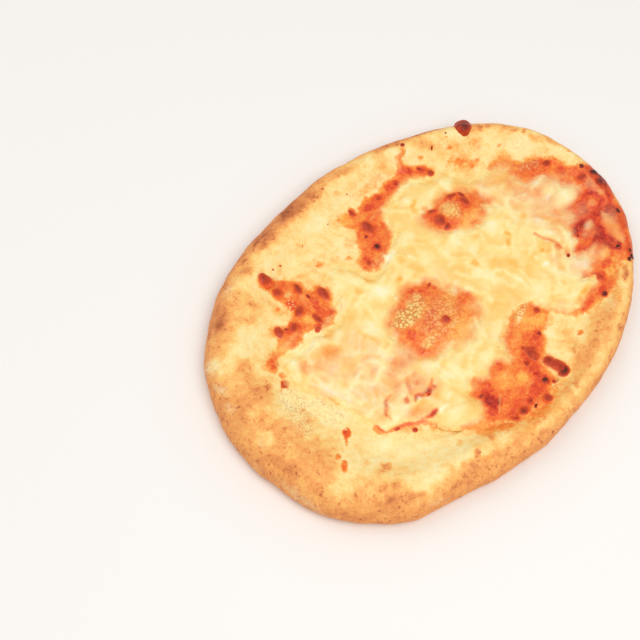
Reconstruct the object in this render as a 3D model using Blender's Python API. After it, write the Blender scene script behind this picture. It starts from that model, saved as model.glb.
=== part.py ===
"""An oval pizza: puffy dough base, tomato sauce, melted mozzarella and browned bits.

The model stands on z = 0. The origin is under the middle of the oval, the long
axis is X. All sizes below are in millimetres; mesh_object() turns them into metres.
"""
import math

import bmesh
import bpy
import numpy as np
from mathutils import Vector
from mathutils.bvhtree import BVHTree
from mathutils.geometry import delaunay_2d_cdt

MM = 0.001

# ---------------------------------------------------------------- driving sizes
GAP = 0.35                # clear space between two layers that touch
GAP_MIN = 0.3             # the least of it that rough triangles may leave
LIFT_STEP = 0.1           # a layer is raised by this much until it is clear
FLOOR_HEIGHT = 8.5        # dough under the toppings
BELT_HEIGHT = 7.0         # height of the rim's widest line
UNDERCUT = 8.0            # how far the foot of the rim lies inside its widest line
CREST_SHARE = 0.36        # place of the crest within the rim's width
CREST_INSET_MIN = 4.0
CREST_INSET_MAX = 15.0

# The rim all the way round, one row every 15 degrees from +X towards +Y:
# distance from the origin, width of the raised rim, height of its crest.
RIM_STEP = 15.0
RIM_RADII = (147.5, 144.0, 130.5, 118.5, 111.0, 108.0, 106.2, 110.0,
             118.5, 128.5, 138.5, 145.0, 147.3, 147.7, 140.0, 123.5,
             113.5, 109.5, 106.5, 109.0, 114.5, 123.0, 134.5, 144.5)
RIM_WIDTHS = (18, 21, 23, 26, 28, 30, 32, 32, 34, 42, 48, 54,
              56, 56, 48, 38, 30, 21, 18, 20, 24, 18, 15, 16)
RIM_CRESTS = (14, 15, 16.5, 17, 17.5, 18, 18, 18.5, 19, 20, 21, 21.5,
              22, 21.5, 20.5, 19.5, 18.5, 17.5, 17, 16.5, 16, 13.5, 12, 12.5)

# Mounds and hollows of the rim: x, y, radius, height.
RIM_MOUNDS = ((-136, -6, 20, 1.2), (-118, -58, 18, 1.4), (-97, -48, 16, -1.8),
              (-64, -82, 16, 1.0), (-84, -62, 14, -1.2), (-120, 30, 22, 0.8),
              (-98, 4, 15, -1.6), (-92, 62, 18, -1.0), (-30, 92, 22, 0.8),
              (22, 84, 18, -0.9), (96, 70, 14, 0.9), (132, 26, 16, -1.0))

# Two bubbles of dough that push up through the toppings: x, y, half length,
# half width, turn in degrees, height.
DOUGH_BUBBLES = ((-8, -9, 31, 26, -12, 5.0), (62, 26, 24, 17, -8, 4.2))
BUBBLE_FULLNESS = 0.8     # below 1 the bubble's flank is steeper, its top rounder

# Flat shapes are unions of ellipses: x, y, half length, half width, turn.
SAUCE_LOBES = ((-45, 0, 45, 43, 0), (35, -5, 85, 52, 0), (-10, -44, 52, 26, 0),
               (48, 50, 30, 17, 0), (-53, 60, 8, 23, 6),
               (-43, 54, 9, 16, -8), (-63, 47, 15, 8, 8), (-84, 44, 13, 3.5, 4),
               (6, 45, 15, 9, 14), (17, 57, 10, 13, -20), (38, 67, 22, 6, 0),
               (62, 68, 10, 5, 0), (70, 62, 11, 5.5, -52), (70, 75.5, 8, 2.4, 17),
               (108, 0, 26, 24, 0), (114, -38, 34, 27, 50), (95, -58, 26, 15, 6),
               (66, -70, 23, 8, 0), (-7, -70, 30, 17, 4), (27, -52, 12, 9, 20),
               (-9, -87, 5, 6, 0), (-42, -67, 14, 6, -28), (-70, -38, 17, 7, -38),
               (62, -56, 22, 12, 0), (133, -13, 8, 13, 0))
CHEESE_LOBES = ((-52, 0, 42, 36, 0), (-77, 20, 19, 21, 0), (-72, -14, 17, 22, 0),
                (-50, -42, 17, 12, -20), (-46, -58, 17, 9, -30), (0, -29, 40, 22, 0),
                (-24, 41, 14, 17, 10), (20, 8, 60, 32, 0), (44, 40, 26, 23, 0),
                (75, 25, 28, 28, 0), (70, -20, 34, 36, 0), (55, -54, 15, 17, 0),
                (98, -8, 25, 20, -10), (69, -66, 9, 3.5, 0), (-4, -52, 6, 9, 0),
                (66, 46, 16, 12, 0))
CHEESE_HOLES = ((-8, -9, 24, 21, -12), (62, 26, 18, 12.5, -8))
# Soft swellings of the cheese: x, y, half length, half width, turn, height.
CHEESE_SWELLS = ((-70, 8, 22, 12, 10, 1.2), (-30, 26, 26, 8, 30, 1.2),
                 (22, 22, 34, 8, 12, 1.1), (50, -2, 26, 10, -10, 1.0),
                 (-8, -40, 34, 7, -4, 1.3), (56, -48, 12, 16, 0, 1.4),
                 (88, -18, 9, 20, 12, 1.2), (92, 22, 14, 18, 0, 0.8),
                 (-76, -14, 8, 18, 0, 0.9))
RIM_CLEARANCE = 3.5       # sauce and cheese stay this far inside the widest line
LIMIT_POINTS = 120        # number of points along that limit
SAUCE_THICKNESS = 1.3
SAUCE_EDGE = 0.7
CHEESE_THICKNESS = 2.4
CHEESE_EDGE = 0.8
SAUCE_TAPER = 6.0         # width over which the sauce thins towards its outline
CHEESE_TAPER = 9.0
SHEET_PITCH = 7.4         # spacing of a sheet's points
ARC_PITCH = 2.5           # spacing of the points along an ellipse before the union
EDGE_SPACING = 4.0        # a sheet's inner points stay this far from its outline
MERGE = 1e-4              # points closer than this are one point

# Browned nubs of cheese and tomato: x, y, length, width, turn, height.
BROWNED_NUBS = ((-54, 80.5, 10, 9, 80, 3.6), (-54, 71, 7.5, 6.5, 0, 2.6),
                (-43.5, 64, 11.5, 5.2, 62, 3.0), (-36.5, 50.5, 13, 7, 75, 3.0),
                (-55, 53.5, 9.5, 6.5, 20, 3.0), (-73.5, 53.5, 9, 7, 60, 3.4),
                (-65.5, 49, 9, 6, 20, 2.6), (-52, 42.5, 10, 4.6, 82, 2.8),
                (9.5, 46, 6.2, 5.6, 0, 3.2), (17, 59, 12, 8, 80, 3.2),
                (19.5, 73, 7.5, 4, 80, 2.6), (75, 55, 6.5, 5.5, 0, 2.6),
                (48.5, 28.5, 11, 8.5, 80, 2.8), (51, 36.3, 6.4, 4.2, -30, 2.4),
                (68, 34, 9, 4.6, -22, 2.8), (69, 25.5, 10, 7, 70, 2.8),
                (113, 58.5, 12, 9, 25, 4.6), (127.5, 4, 8, 6, 0, 3.0),
                (132, -19.5, 6.5, 5.5, 0, 2.6), (136, -30, 6.4, 5, 60, 2.8),
                (13.4, -82.5, 16.5, 9, 100, 5.0), (9.8, -66.3, 13, 7.5, 84, 3.0),
                (0, -83, 6, 5.5, 0, 3.0), (-24, -84.5, 9, 6, -6, 3.0),
                (-9, -90.5, 7, 5.5, 70, 2.6), (36, -52, 5.6, 5, 0, 2.6),
                (-6, -16, 6.6, 6, 40, 2.4))
# Pale lumps and shreds of cheese that lie on top, in the same form.
CHEESE_LUMPS = ((-48, -59.5, 29, 13, -28, 2.8), (-68.5, -28.5, 17, 9, 25, 2.2),
                (113.5, -19.5, 21, 12, -5, 2.8), (69, -67, 17, 5, 2, 1.7),
                (105.5, -42, 11, 8, 0, 2.0), (114.5, -54.5, 19, 8, 68, 2.4),
                (121.5, -34.5, 10, 8.5, 0, 2.2), (129.5, -42.5, 7, 5.2, 40, 1.8),
                (-29.5, -72, 13, 2.6, 32, 1.5))
BELLY_SHARE = 0.3         # height of a nub's widest line within its height
OVERHANG = 2.0            # how far a nub's edge may sag below its middle
NUB_SIDES = 10
NUB_RINGS = 5

# Number of points round the dough and of rings in each of its zones.
DOUGH_SIDES = 64
FLOOR_RINGS = 12
SLOPE_RINGS = 5
SHOULDER_RINGS = 4
FOOT_RINGS = 3

DOUGH_COLOUR = (0.82, 0.50, 0.19)
SAUCE_COLOUR = (0.60, 0.08, 0.015)
CHEESE_COLOUR = (0.90, 0.72, 0.34)
BROWNED_COLOUR = (0.26, 0.045, 0.012)
DOUGH_ROUGHNESS = 0.7
TOPPING_ROUGHNESS = 0.4


# ---------------------------------------------------------------- helpers
def smooth_ring_value(values, bearing):
    """Read a row of values that runs round the circle, smoothly, at a bearing in degrees."""
    count = len(values)
    place = (bearing % 360.0) / RIM_STEP
    index = int(place)
    t = place - index
    before, start, end, after = (values[(index + k - 1) % count] for k in range(4))
    bend = t * (end - before) + t * t * (2 * before - 5 * start + 4 * end - after)
    bend += t ** 3 * (3 * start - before - 3 * end + after)
    return start + 0.5 * bend


def ellipse_distance(x, y, lobe):
    """Distance from an ellipse's middle, where 1 is its outline."""
    centre_x, centre_y, half_length, half_width, turn = lobe
    angle = math.radians(turn)
    along = (x - centre_x) * math.cos(angle) + (y - centre_y) * math.sin(angle)
    across = (y - centre_y) * math.cos(angle) - (x - centre_x) * math.sin(angle)
    return math.hypot(along / half_length, across / half_width)


def soft_step(t):
    """Rise smoothly from 0 to 1 while t goes from 0 to 1."""
    t = min(max(t, 0.0), 1.0)
    return t * t * (3.0 - 2.0 * t)


def soft_dome(x, y, lobe):
    """Rise smoothly from 0 on an ellipse's outline to 1 in its middle."""
    return soft_step(1.0 - ellipse_distance(x, y, lobe))


# ---------------------------------------------------------------- dough surface
def rim_radius(bearing):
    """Distance from the origin to the rim's widest line."""
    return smooth_ring_value(RIM_RADII, bearing)


def crest_inset(bearing):
    """Distance from the rim's widest line in to its crest."""
    width = smooth_ring_value(RIM_WIDTHS, bearing)
    return min(max(CREST_SHARE * width, CREST_INSET_MIN), CREST_INSET_MAX)


def dough_height(x, y):
    """Height of the dough's upper surface."""
    bearing = math.degrees(math.atan2(y, x))
    inset = max(rim_radius(bearing) - math.hypot(x, y), 0.0)
    width = smooth_ring_value(RIM_WIDTHS, bearing)
    crest = smooth_ring_value(RIM_CRESTS, bearing)
    to_crest = crest_inset(bearing)
    if inset < to_crest:
        share = (to_crest - inset) / to_crest
        height = BELT_HEIGHT + (crest - BELT_HEIGHT) * math.sqrt(1.0 - share * share)
        relief = 1.0 - share
    else:
        share = (inset - to_crest) / (width - to_crest)
        height = FLOOR_HEIGHT + (crest - FLOOR_HEIGHT) * (1.0 - soft_step(share))
        relief = 1.0
    for mound_x, mound_y, radius, rise in RIM_MOUNDS:
        height += relief * rise * soft_dome(x, y, (mound_x, mound_y, radius, radius, 0))
    for *bubble, rise in DOUGH_BUBBLES:
        height += rise * soft_dome(x, y, bubble) ** BUBBLE_FULLNESS
    return height


# ---------------------------------------------------------------- flat shapes
def ellipse_points(lobe):
    """Points along an ellipse."""
    centre_x, centre_y, half_length, half_width, turn = lobe
    count = round(math.pi * (half_length + half_width) / ARC_PITCH)
    cosine = math.cos(math.radians(turn))
    sine = math.sin(math.radians(turn))
    points = []
    for step in range(count):
        angle = 2.0 * math.pi * step / count
        along = half_length * math.cos(angle)
        across = half_width * math.sin(angle)
        points.append((centre_x + along * cosine - across * sine,
                       centre_y + along * sine + across * cosine))
    return points


def boundary_loops(points, triangles):
    """Chain the edges that only one triangle uses into closed loops of points."""
    edges = {(a, b) for t in triangles for a, b in zip(t, t[1:] + t[:1])}
    following = {a: b for a, b in edges if (b, a) not in edges}
    loops = []
    while following:
        start, current = following.popitem()
        loop = [points[start]]
        while current != start:
            loop.append(points[current])
            current = following.pop(current)
        loops.append(loop)
    return loops


def even_loop(loop):
    """Redraw a closed loop with points a sheet's pitch apart."""
    closed = np.array(loop + loop[:1])
    lengths = np.hypot(*np.diff(closed, axis=0).T)
    travelled = np.concatenate(([0.0], np.cumsum(lengths)))
    count = round(travelled[-1] / SHEET_PITCH)
    places = np.linspace(0.0, travelled[-1], count, endpoint=False)
    columns = [np.interp(places, travelled, closed[:, axis]) for axis in (0, 1)]
    return list(zip(*columns))


def union_loops(lobes, holes):
    """Outline of all lobes together, less the holes and what runs off the rim."""
    limit = []
    for step in range(LIMIT_POINTS):
        bearing = 360.0 * step / LIMIT_POINTS
        radius = rim_radius(bearing) - RIM_CLEARANCE
        angle = math.radians(bearing)
        limit.append((radius * math.cos(angle), radius * math.sin(angle)))
    points = []
    faces = []
    for outline in [limit] + [ellipse_points(lobe) for lobe in lobes + holes]:
        faces.append(list(range(len(points), len(points) + len(outline))))
        points.extend(Vector(point) for point in outline)
    cut = delaunay_2d_cdt(points, [], faces, 0, MERGE)
    merged, triangles, sources = cut[0], cut[2], cut[5]
    inside = [list(triangle) for triangle, source in zip(triangles, sources)
              if 0 in source and 0 < max(source) <= len(lobes)]
    return [even_loop(loop)
            for loop in boundary_loops([tuple(p) for p in merged], inside)]


def loop_distance(x, y, loops):
    """Distance from a point to the nearest loop, less than zero outside the shape."""
    nearest = math.inf
    crossings = 0
    for loop in loops:
        for (ax, ay), (bx, by) in zip(loop, loop[1:] + loop[:1]):
            dx, dy = bx - ax, by - ay
            t = ((x - ax) * dx + (y - ay) * dy) / (dx * dx + dy * dy)
            t = min(max(t, 0.0), 1.0)
            nearest = min(nearest, math.hypot(x - ax - t * dx, y - ay - t * dy))
            if (ay > y) != (by > y) and x < ax + (y - ay) / dy * dx:
                crossings += 1
    return nearest if crossings % 2 else -nearest


def fill_loops(loops):
    """Fill a shape with even triangles; give its points and its triangles."""
    points = [point for loop in loops for point in loop]
    edges = []
    for loop in loops:
        first = len(edges)
        count = len(loop)
        edges.extend((first + k, first + (k + 1) % count) for k in range(count))
    corners = np.array(points)
    low, high = corners.min(axis=0), corners.max(axis=0)
    row_height = SHEET_PITCH * math.sqrt(3.0) / 2.0
    for row, y in enumerate(np.arange(low[1], high[1], row_height)):
        shift = (row % 2) * SHEET_PITCH / 2.0
        for x in np.arange(low[0] + shift, high[0], SHEET_PITCH):
            if loop_distance(x, y, loops) > EDGE_SPACING:
                points.append((x, y))
    cut = delaunay_2d_cdt([Vector(p) for p in points], edges, [], 0, MERGE)
    points = [tuple(p) for p in cut[0]]
    triangles = []
    for triangle in cut[2]:
        middle = np.mean([points[corner] for corner in triangle], axis=0)
        if loop_distance(*middle, loops) > 0.0:
            triangles.append(triangle)
    return points, triangles


# ---------------------------------------------------------------- layers
SAUCE_LOOPS = union_loops(SAUCE_LOBES, ())
CHEESE_LOOPS = union_loops(CHEESE_LOBES, CHEESE_HOLES)


def sauce_thickness(x, y):
    """Thickness of the sauce, carried a little past its outline."""
    depth = loop_distance(x, y, SAUCE_LOOPS)
    if depth < -SAUCE_TAPER / 2.0:
        return 0.0
    if depth < 0.0:
        return (GAP + SAUCE_EDGE) * soft_step(1.0 + 2.0 * depth / SAUCE_TAPER)
    swell = soft_step(depth / SAUCE_TAPER)
    return GAP + SAUCE_EDGE + (SAUCE_THICKNESS - SAUCE_EDGE) * swell


def sauce_top(x, y):
    """Height of the sauce, or of the dough where there is no sauce."""
    return dough_height(x, y) + sauce_thickness(x, y)


def cheese_thickness(x, y):
    """Thickness of the cheese, carried a little past its outline."""
    depth = loop_distance(x, y, CHEESE_LOOPS)
    if depth < -CHEESE_TAPER / 2.0:
        return 0.0
    if depth < 0.0:
        return (GAP + CHEESE_EDGE) * soft_step(1.0 + 2.0 * depth / CHEESE_TAPER)
    swell = soft_step(depth / CHEESE_TAPER)
    thickness = GAP + CHEESE_EDGE + (CHEESE_THICKNESS - CHEESE_EDGE) * swell
    for *lobe, rise in CHEESE_SWELLS:
        thickness += swell * rise * soft_dome(x, y, lobe)
    return thickness


def cheese_top(x, y):
    """Height of whatever lies on top at a point, the small pieces apart."""
    return sauce_top(x, y) + cheese_thickness(x, y)


# ---------------------------------------------------------------- objects
def material(name, colour, roughness):
    """A plain surface with its own colour and roughness."""
    made = bpy.data.materials.new(name)
    made.use_nodes = True
    shader = made.node_tree.nodes["Principled BSDF"]
    shader.inputs["Base Color"].default_value = (*colour, 1.0)
    shader.inputs["Roughness"].default_value = roughness
    made.diffuse_color = (*colour, 1.0)
    return made


def mesh_object(name, shape, colour, roughness):
    """Put a finished shape in the scene, in metres, and give its surface for contact."""
    bmesh.ops.triangulate(shape, faces=shape.faces)
    tree = BVHTree.FromBMesh(shape)
    bmesh.ops.scale(shape, vec=(MM, MM, MM), verts=shape.verts)
    mesh = bpy.data.meshes.new(name)
    shape.to_mesh(mesh)
    shape.free()
    mesh.shade_smooth()
    mesh.materials.append(material(name, colour, roughness))
    made = bpy.data.objects.new(name, mesh)
    bpy.context.collection.objects.link(made)
    return tree


def touching_verts(verts, faces, below):
    """The points of all faces that come closer than the gap to what is below them."""
    order = {vert: index for index, vert in enumerate(verts)}
    corners = [[order[vert] for vert in face.verts] for face in faces]
    touching = set()
    for drop in (0.0, 0.5 * GAP_MIN, GAP_MIN):
        lowered = [vert.co - Vector((0.0, 0.0, drop)) for vert in verts]
        tree = BVHTree.FromPolygons(lowered, corners)
        touching.update(mine for other in below for mine, _ in tree.overlap(other))
    return {vert for face in touching for vert in faces[face].verts}


def ring(shape, place):
    """A closed ring of edges whose points place(bearing) gives."""
    verts = [shape.verts.new(place(360.0 * k / DOUGH_SIDES)) for k in range(DOUGH_SIDES)]
    return [shape.edges.new((a, b)) for a, b in zip(verts, verts[1:] + verts[:1])]


def build_dough():
    """Loft the dough ring by ring, from the foot over the rim to the middle."""
    def upper(inset_of):
        """A ring of the upper surface, at the inset that inset_of(bearing) gives."""
        def place(bearing):
            radius = rim_radius(bearing) - inset_of(bearing)
            x = radius * math.cos(math.radians(bearing))
            y = radius * math.sin(math.radians(bearing))
            return x, y, dough_height(x, y)
        return place

    def foot(share):
        """A ring of the rim's underside; share 0 is the sole, 1 the widest line."""
        def place(bearing):
            inward = UNDERCUT * (1.0 - math.sin(0.5 * math.pi * share))
            radius = rim_radius(bearing) - inward
            rise = BELT_HEIGHT * (1.0 - math.cos(0.5 * math.pi * share))
            angle = math.radians(bearing)
            return radius * math.cos(angle), radius * math.sin(angle), rise
        return place

    def slope_end(bearing):
        return smooth_ring_value(RIM_WIDTHS, bearing)

    places = [foot(step / FOOT_RINGS) for step in range(FOOT_RINGS)]
    for step in range(SHOULDER_RINGS):
        share = 1.0 - math.cos(0.5 * math.pi * step / SHOULDER_RINGS)
        places.append(upper(lambda b, s=share: s * crest_inset(b)))
    for step in range(SLOPE_RINGS + 1):
        share = step / SLOPE_RINGS
        places.append(upper(
            lambda b, s=share: crest_inset(b) + s * (slope_end(b) - crest_inset(b))))
    for step in range(1, FLOOR_RINGS):
        share = step / FLOOR_RINGS
        places.append(upper(
            lambda b, s=share: slope_end(b) + s * (rim_radius(b) - slope_end(b))))

    shape = bmesh.new()
    rings = [ring(shape, place) for place in places]
    for lower, higher in zip(rings, rings[1:]):
        bmesh.ops.bridge_loops(shape, edges=lower + higher)
    bmesh.ops.contextual_create(shape, geom=rings[0])
    middle = shape.verts.new((0.0, 0.0, dough_height(0.0, 0.0)))
    for edge in rings[-1]:
        shape.faces.new((*edge.verts, middle))
    bmesh.ops.recalc_face_normals(shape, faces=shape.faces)
    return mesh_object("dough_base", shape, DOUGH_COLOUR, DOUGH_ROUGHNESS)


def build_sheet(name, loops, bottom_of, thickness_of, colour, below):
    """Raise a filled outline into a closed sheet that lies on what is below it."""
    points, triangles = fill_loops(loops)
    shape = bmesh.new()
    lower = [shape.verts.new((x, y, bottom_of(x, y) + GAP)) for x, y in points]
    faces = [shape.faces.new([lower[corner] for corner in t]) for t in triangles]
    while touching := touching_verts(lower, faces, below):
        for vert in touching:
            vert.co.z += LIFT_STEP
    raised = bmesh.ops.extrude_face_region(shape, geom=faces, use_keep_orig=True)
    for item in raised["geom"]:
        if isinstance(item, bmesh.types.BMVert):
            item.co.z += thickness_of(item.co.x, item.co.y) - GAP
    bmesh.ops.recalc_face_normals(shape, faces=shape.faces)
    return mesh_object(name, shape, colour, TOPPING_ROUGHNESS)


def build_nub(name, size, colour, below):
    """Shape a ball into a low lump whose underside follows what it lies on."""
    x, y, length, width, turn, height = size
    cosine = math.cos(math.radians(turn))
    sine = math.sin(math.radians(turn))
    lowest = cheese_top(x, y) - OVERHANG
    shape = bmesh.new()
    bmesh.ops.create_uvsphere(shape, u_segments=NUB_SIDES, v_segments=NUB_RINGS, radius=1.0)
    for vert in shape.verts:
        along = 0.5 * length * vert.co.x
        across = 0.5 * width * vert.co.y
        share = BELLY_SHARE + vert.co.z * (1.0 - BELLY_SHARE if vert.co.z > 0 else BELLY_SHARE)
        vert.co.x = x + along * cosine - across * sine
        vert.co.y = y + along * sine + across * cosine
        support = max(cheese_top(vert.co.x, vert.co.y), lowest)
        vert.co.z = support + GAP + height * share
    while touching_verts(list(shape.verts), list(shape.faces), below):
        bmesh.ops.translate(shape, vec=(0.0, 0.0, LIFT_STEP), verts=shape.verts)
    return mesh_object(name, shape, colour, TOPPING_ROUGHNESS)


def main():
    """Clear the scene and build every layer and lump, each on those before it."""
    for existing in list(bpy.data.objects):
        bpy.data.objects.remove(existing)
    built = [build_dough()]
    built.append(build_sheet("tomato_sauce", SAUCE_LOOPS, dough_height,
                             sauce_thickness, SAUCE_COLOUR, built))
    built.append(build_sheet("melted_mozzarella", CHEESE_LOOPS, sauce_top,
                             cheese_thickness, CHEESE_COLOUR, built))
    for index, size in enumerate(BROWNED_NUBS, start=1):
        built.append(build_nub(f"browned_nub_{index:02d}", size, BROWNED_COLOUR, built))
    for index, size in enumerate(CHEESE_LUMPS, start=1):
        built.append(build_nub(f"cheese_lump_{index:02d}", size, CHEESE_COLOUR, built))


main()
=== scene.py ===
"""The looks of an oval pizza: puffy dough, tomato sauce, melted mozzarella and browned bits.

Lengths are in millimetres until a mesh is made, where MM turns them into metres. The
pizza lies on z = 0 with its long axis along X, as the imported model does. Everything that
is painted or raised on it is a mark on the sheet, a grid of points seen from above.
"""
import logging
import math
from dataclasses import dataclass, replace
from enum import Enum
from typing import Callable, Iterable, Sequence

import bpy
import numpy as np
from mathutils import Matrix, Vector
from mathutils.bvhtree import BVHTree


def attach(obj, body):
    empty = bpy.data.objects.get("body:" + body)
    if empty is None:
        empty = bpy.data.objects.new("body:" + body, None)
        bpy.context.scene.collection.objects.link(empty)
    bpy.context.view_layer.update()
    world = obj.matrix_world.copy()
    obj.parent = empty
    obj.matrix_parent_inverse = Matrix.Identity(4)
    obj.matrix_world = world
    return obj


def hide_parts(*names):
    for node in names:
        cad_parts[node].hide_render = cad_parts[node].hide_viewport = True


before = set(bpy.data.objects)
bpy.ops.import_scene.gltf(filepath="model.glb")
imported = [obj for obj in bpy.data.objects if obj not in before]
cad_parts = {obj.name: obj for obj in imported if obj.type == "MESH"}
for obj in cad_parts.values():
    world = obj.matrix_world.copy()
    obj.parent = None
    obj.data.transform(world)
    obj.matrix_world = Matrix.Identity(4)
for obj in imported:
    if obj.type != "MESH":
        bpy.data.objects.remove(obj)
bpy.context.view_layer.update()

MM = 0.001
BODY = "root"
# Half the pizza's length and width.
PIZZA_HALF_LENGTH = 147.0
PIZZA_HALF_WIDTH = 106.0
LOG = logging.getLogger("pizza")


# ---------------------------------------------------------------- small helpers
def soft_step(t: np.ndarray) -> np.ndarray:
    """Rise smoothly from 0 to 1 while t goes from 0 to 1."""
    t = np.clip(t, 0.0, 1.0)
    return t * t * (3.0 - 2.0 * t)


def srgb(red: int, green: int, blue: int) -> tuple[float, float, float, float]:
    """A colour as seen on a screen, 0 to 255 a channel, in the shader's linear values."""
    parts = [channel / 255.0 for channel in (red, green, blue)]
    linear = [part / 12.92 if part <= 0.04045 else ((part + 0.055) / 1.055) ** 2.4
              for part in parts]
    return (*linear, 1.0)


def between(before: np.ndarray, start: np.ndarray, end: np.ndarray, after: np.ndarray,
            t: np.ndarray) -> np.ndarray:
    """Go smoothly from start to end, in line with the values on either side.

    Args:
        before: The value ahead of start.
        start: The value at t = 0.
        end: The value at t = 1.
        after: The value past end.
        t: How far along, 0 to 1.

    Returns:
        The value at t.
    """
    bend = t * (end - before) + t * t * (2.0 * before - 5.0 * start + 4.0 * end - after)
    bend = bend + t ** 3 * (3.0 * start - before - 3.0 * end + after)
    return start + 0.5 * bend


@dataclass(frozen=True)
class Grain:
    """Smooth random relief, between about -1 and 1, the same in each run."""

    seed: int
    size: float
    lattice: int = 128

    def at(self, x: np.ndarray, y: np.ndarray) -> np.ndarray:
        """Read the relief at places given in millimetres.

        Args:
            x: Places along X.
            y: Places along Y.

        Returns:
            The relief at each place.
        """
        slants = np.random.default_rng(self.seed).uniform(0.0, 2.0 * math.pi, (self.lattice,) * 2)
        turn = self.seed % 7 + 0.4
        u = (x * math.cos(turn) - y * math.sin(turn)) / self.size
        v = (x * math.sin(turn) + y * math.cos(turn)) / self.size
        column, row = np.floor(u).astype(int), np.floor(v).astype(int)
        fu, fv = u - column, v - row
        corners = []
        for down in (0, 1):
            for right in (0, 1):
                slant = slants[(row + down) % self.lattice, (column + right) % self.lattice]
                corners.append(np.cos(slant) * (fu - right) + np.sin(slant) * (fv - down))
        ease_u = fu ** 3 * (fu * (6.0 * fu - 15.0) + 10.0)
        ease_v = fv ** 3 * (fv * (6.0 * fv - 15.0) + 10.0)
        top = corners[0] + ease_u * (corners[1] - corners[0])
        bottom = corners[2] + ease_u * (corners[3] - corners[2])
        return 1.5 * (top + ease_v * (bottom - top))


# ---------------------------------------------------------------- marks
@dataclass(frozen=True)
class Dab:
    """An oval spot; soft is the share of it over which it fades towards its outline."""

    x: float
    y: float
    length: float
    width: float
    strength: float = 1.0
    turn: float = 0.0
    soft: float = 0.45

    def reach(self) -> tuple[float, float, float, float]:
        """The lowest and highest x and y that the spot touches."""
        half = 0.5 * max(self.length, self.width)
        return self.x - half, self.x + half, self.y - half, self.y + half

    def inward(self, x: np.ndarray, y: np.ndarray) -> np.ndarray:
        """How far inside the outline, as a share: 1 in the middle, 0 on the outline."""
        cosine = math.cos(math.radians(self.turn))
        sine = math.sin(math.radians(self.turn))
        along = ((x - self.x) * cosine + (y - self.y) * sine) * 2.0 / self.length
        across = ((y - self.y) * cosine - (x - self.x) * sine) * 2.0 / self.width
        return 1.0 - np.hypot(along, across)

    def cover(self, x: np.ndarray, y: np.ndarray) -> np.ndarray:
        """The spot's cover at each place: 1 inside, 0 outside."""
        return soft_step(self.inward(x, y) / self.soft)


@dataclass(frozen=True)
class Stroke:
    """A line through points, thin at its ends, with a soft edge."""

    # Its width at either end, as a share of that in the middle.
    END = 0.35

    points: tuple[tuple[float, float], ...]
    width: float
    strength: float = 1.0
    soft: float = 0.8

    def reach(self) -> tuple[float, float, float, float]:
        """The lowest and highest x and y that the line touches."""
        xs = [point[0] for point in self.points]
        ys = [point[1] for point in self.points]
        half = 0.5 * self.width
        return min(xs) - half, max(xs) + half, min(ys) - half, max(ys) + half

    def cover(self, x: np.ndarray, y: np.ndarray) -> np.ndarray:
        """The line's cover at each place: 1 on it, 0 beside it."""
        lengths = [math.dist(a, b) for a, b in zip(self.points, self.points[1:])]
        total = sum(lengths)
        best = np.full(np.shape(x), -np.inf)
        gone = 0.0
        for (ax, ay), (bx, by), length in zip(self.points, self.points[1:], lengths):
            t = ((x - ax) * (bx - ax) + (y - ay) * (by - ay)) / length ** 2
            t = np.clip(t, 0.0, 1.0)
            away = np.hypot(x - ax - t * (bx - ax), y - ay - t * (by - ay))
            place = (gone + t * length) / total
            swell = np.sqrt(np.clip(4.0 * place * (1.0 - place), 0.0, 1.0))
            half = 0.5 * self.width * (self.END + (1.0 - self.END) * swell)
            best = np.maximum(best, 1.0 - away / half)
            gone += length
        return soft_step(best / self.soft)


@dataclass(frozen=True)
class Patch:
    """A shape whose outline runs through points."""

    outline: tuple[tuple[float, float], ...]

    def depth(self, x: np.ndarray, y: np.ndarray) -> np.ndarray:
        """How far inside the outline each place is, less than zero outside it."""
        nearest = np.full(np.shape(x), np.inf)
        inside = np.zeros(np.shape(x), bool)
        for (ax, ay), (bx, by) in zip(self.outline, self.outline[1:] + self.outline[:1]):
            t = ((x - ax) * (bx - ax) + (y - ay) * (by - ay)) / math.dist((ax, ay), (bx, by)) ** 2
            t = np.clip(t, 0.0, 1.0)
            away = np.hypot(x - ax - t * (bx - ax), y - ay - t * (by - ay))
            nearest = np.minimum(nearest, away)
            if ay != by:
                crossing = ax + (y - ay) / (by - ay) * (bx - ax)
                inside ^= ((ay > y) != (by > y)) & (x < crossing)
        return np.where(inside, nearest, -nearest)


Mark = Dab | Stroke


def marks(*rows: tuple, soft: float) -> tuple[Mark, ...]:
    """Marks from rows.

    Args:
        rows: x, y, length, width, strength, turn and soft of a spot, or points, width,
            strength and soft of a line.
        soft: The soft of the rows that don't give one.

    Returns:
        The marks.
    """
    made = []
    for row in rows:
        kind, values = (Stroke, 4) if isinstance(row[0], tuple) else (Dab, 7)
        made.append(kind(*row) if len(row) == values else kind(*row, soft=soft))
    return tuple(made)


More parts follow.
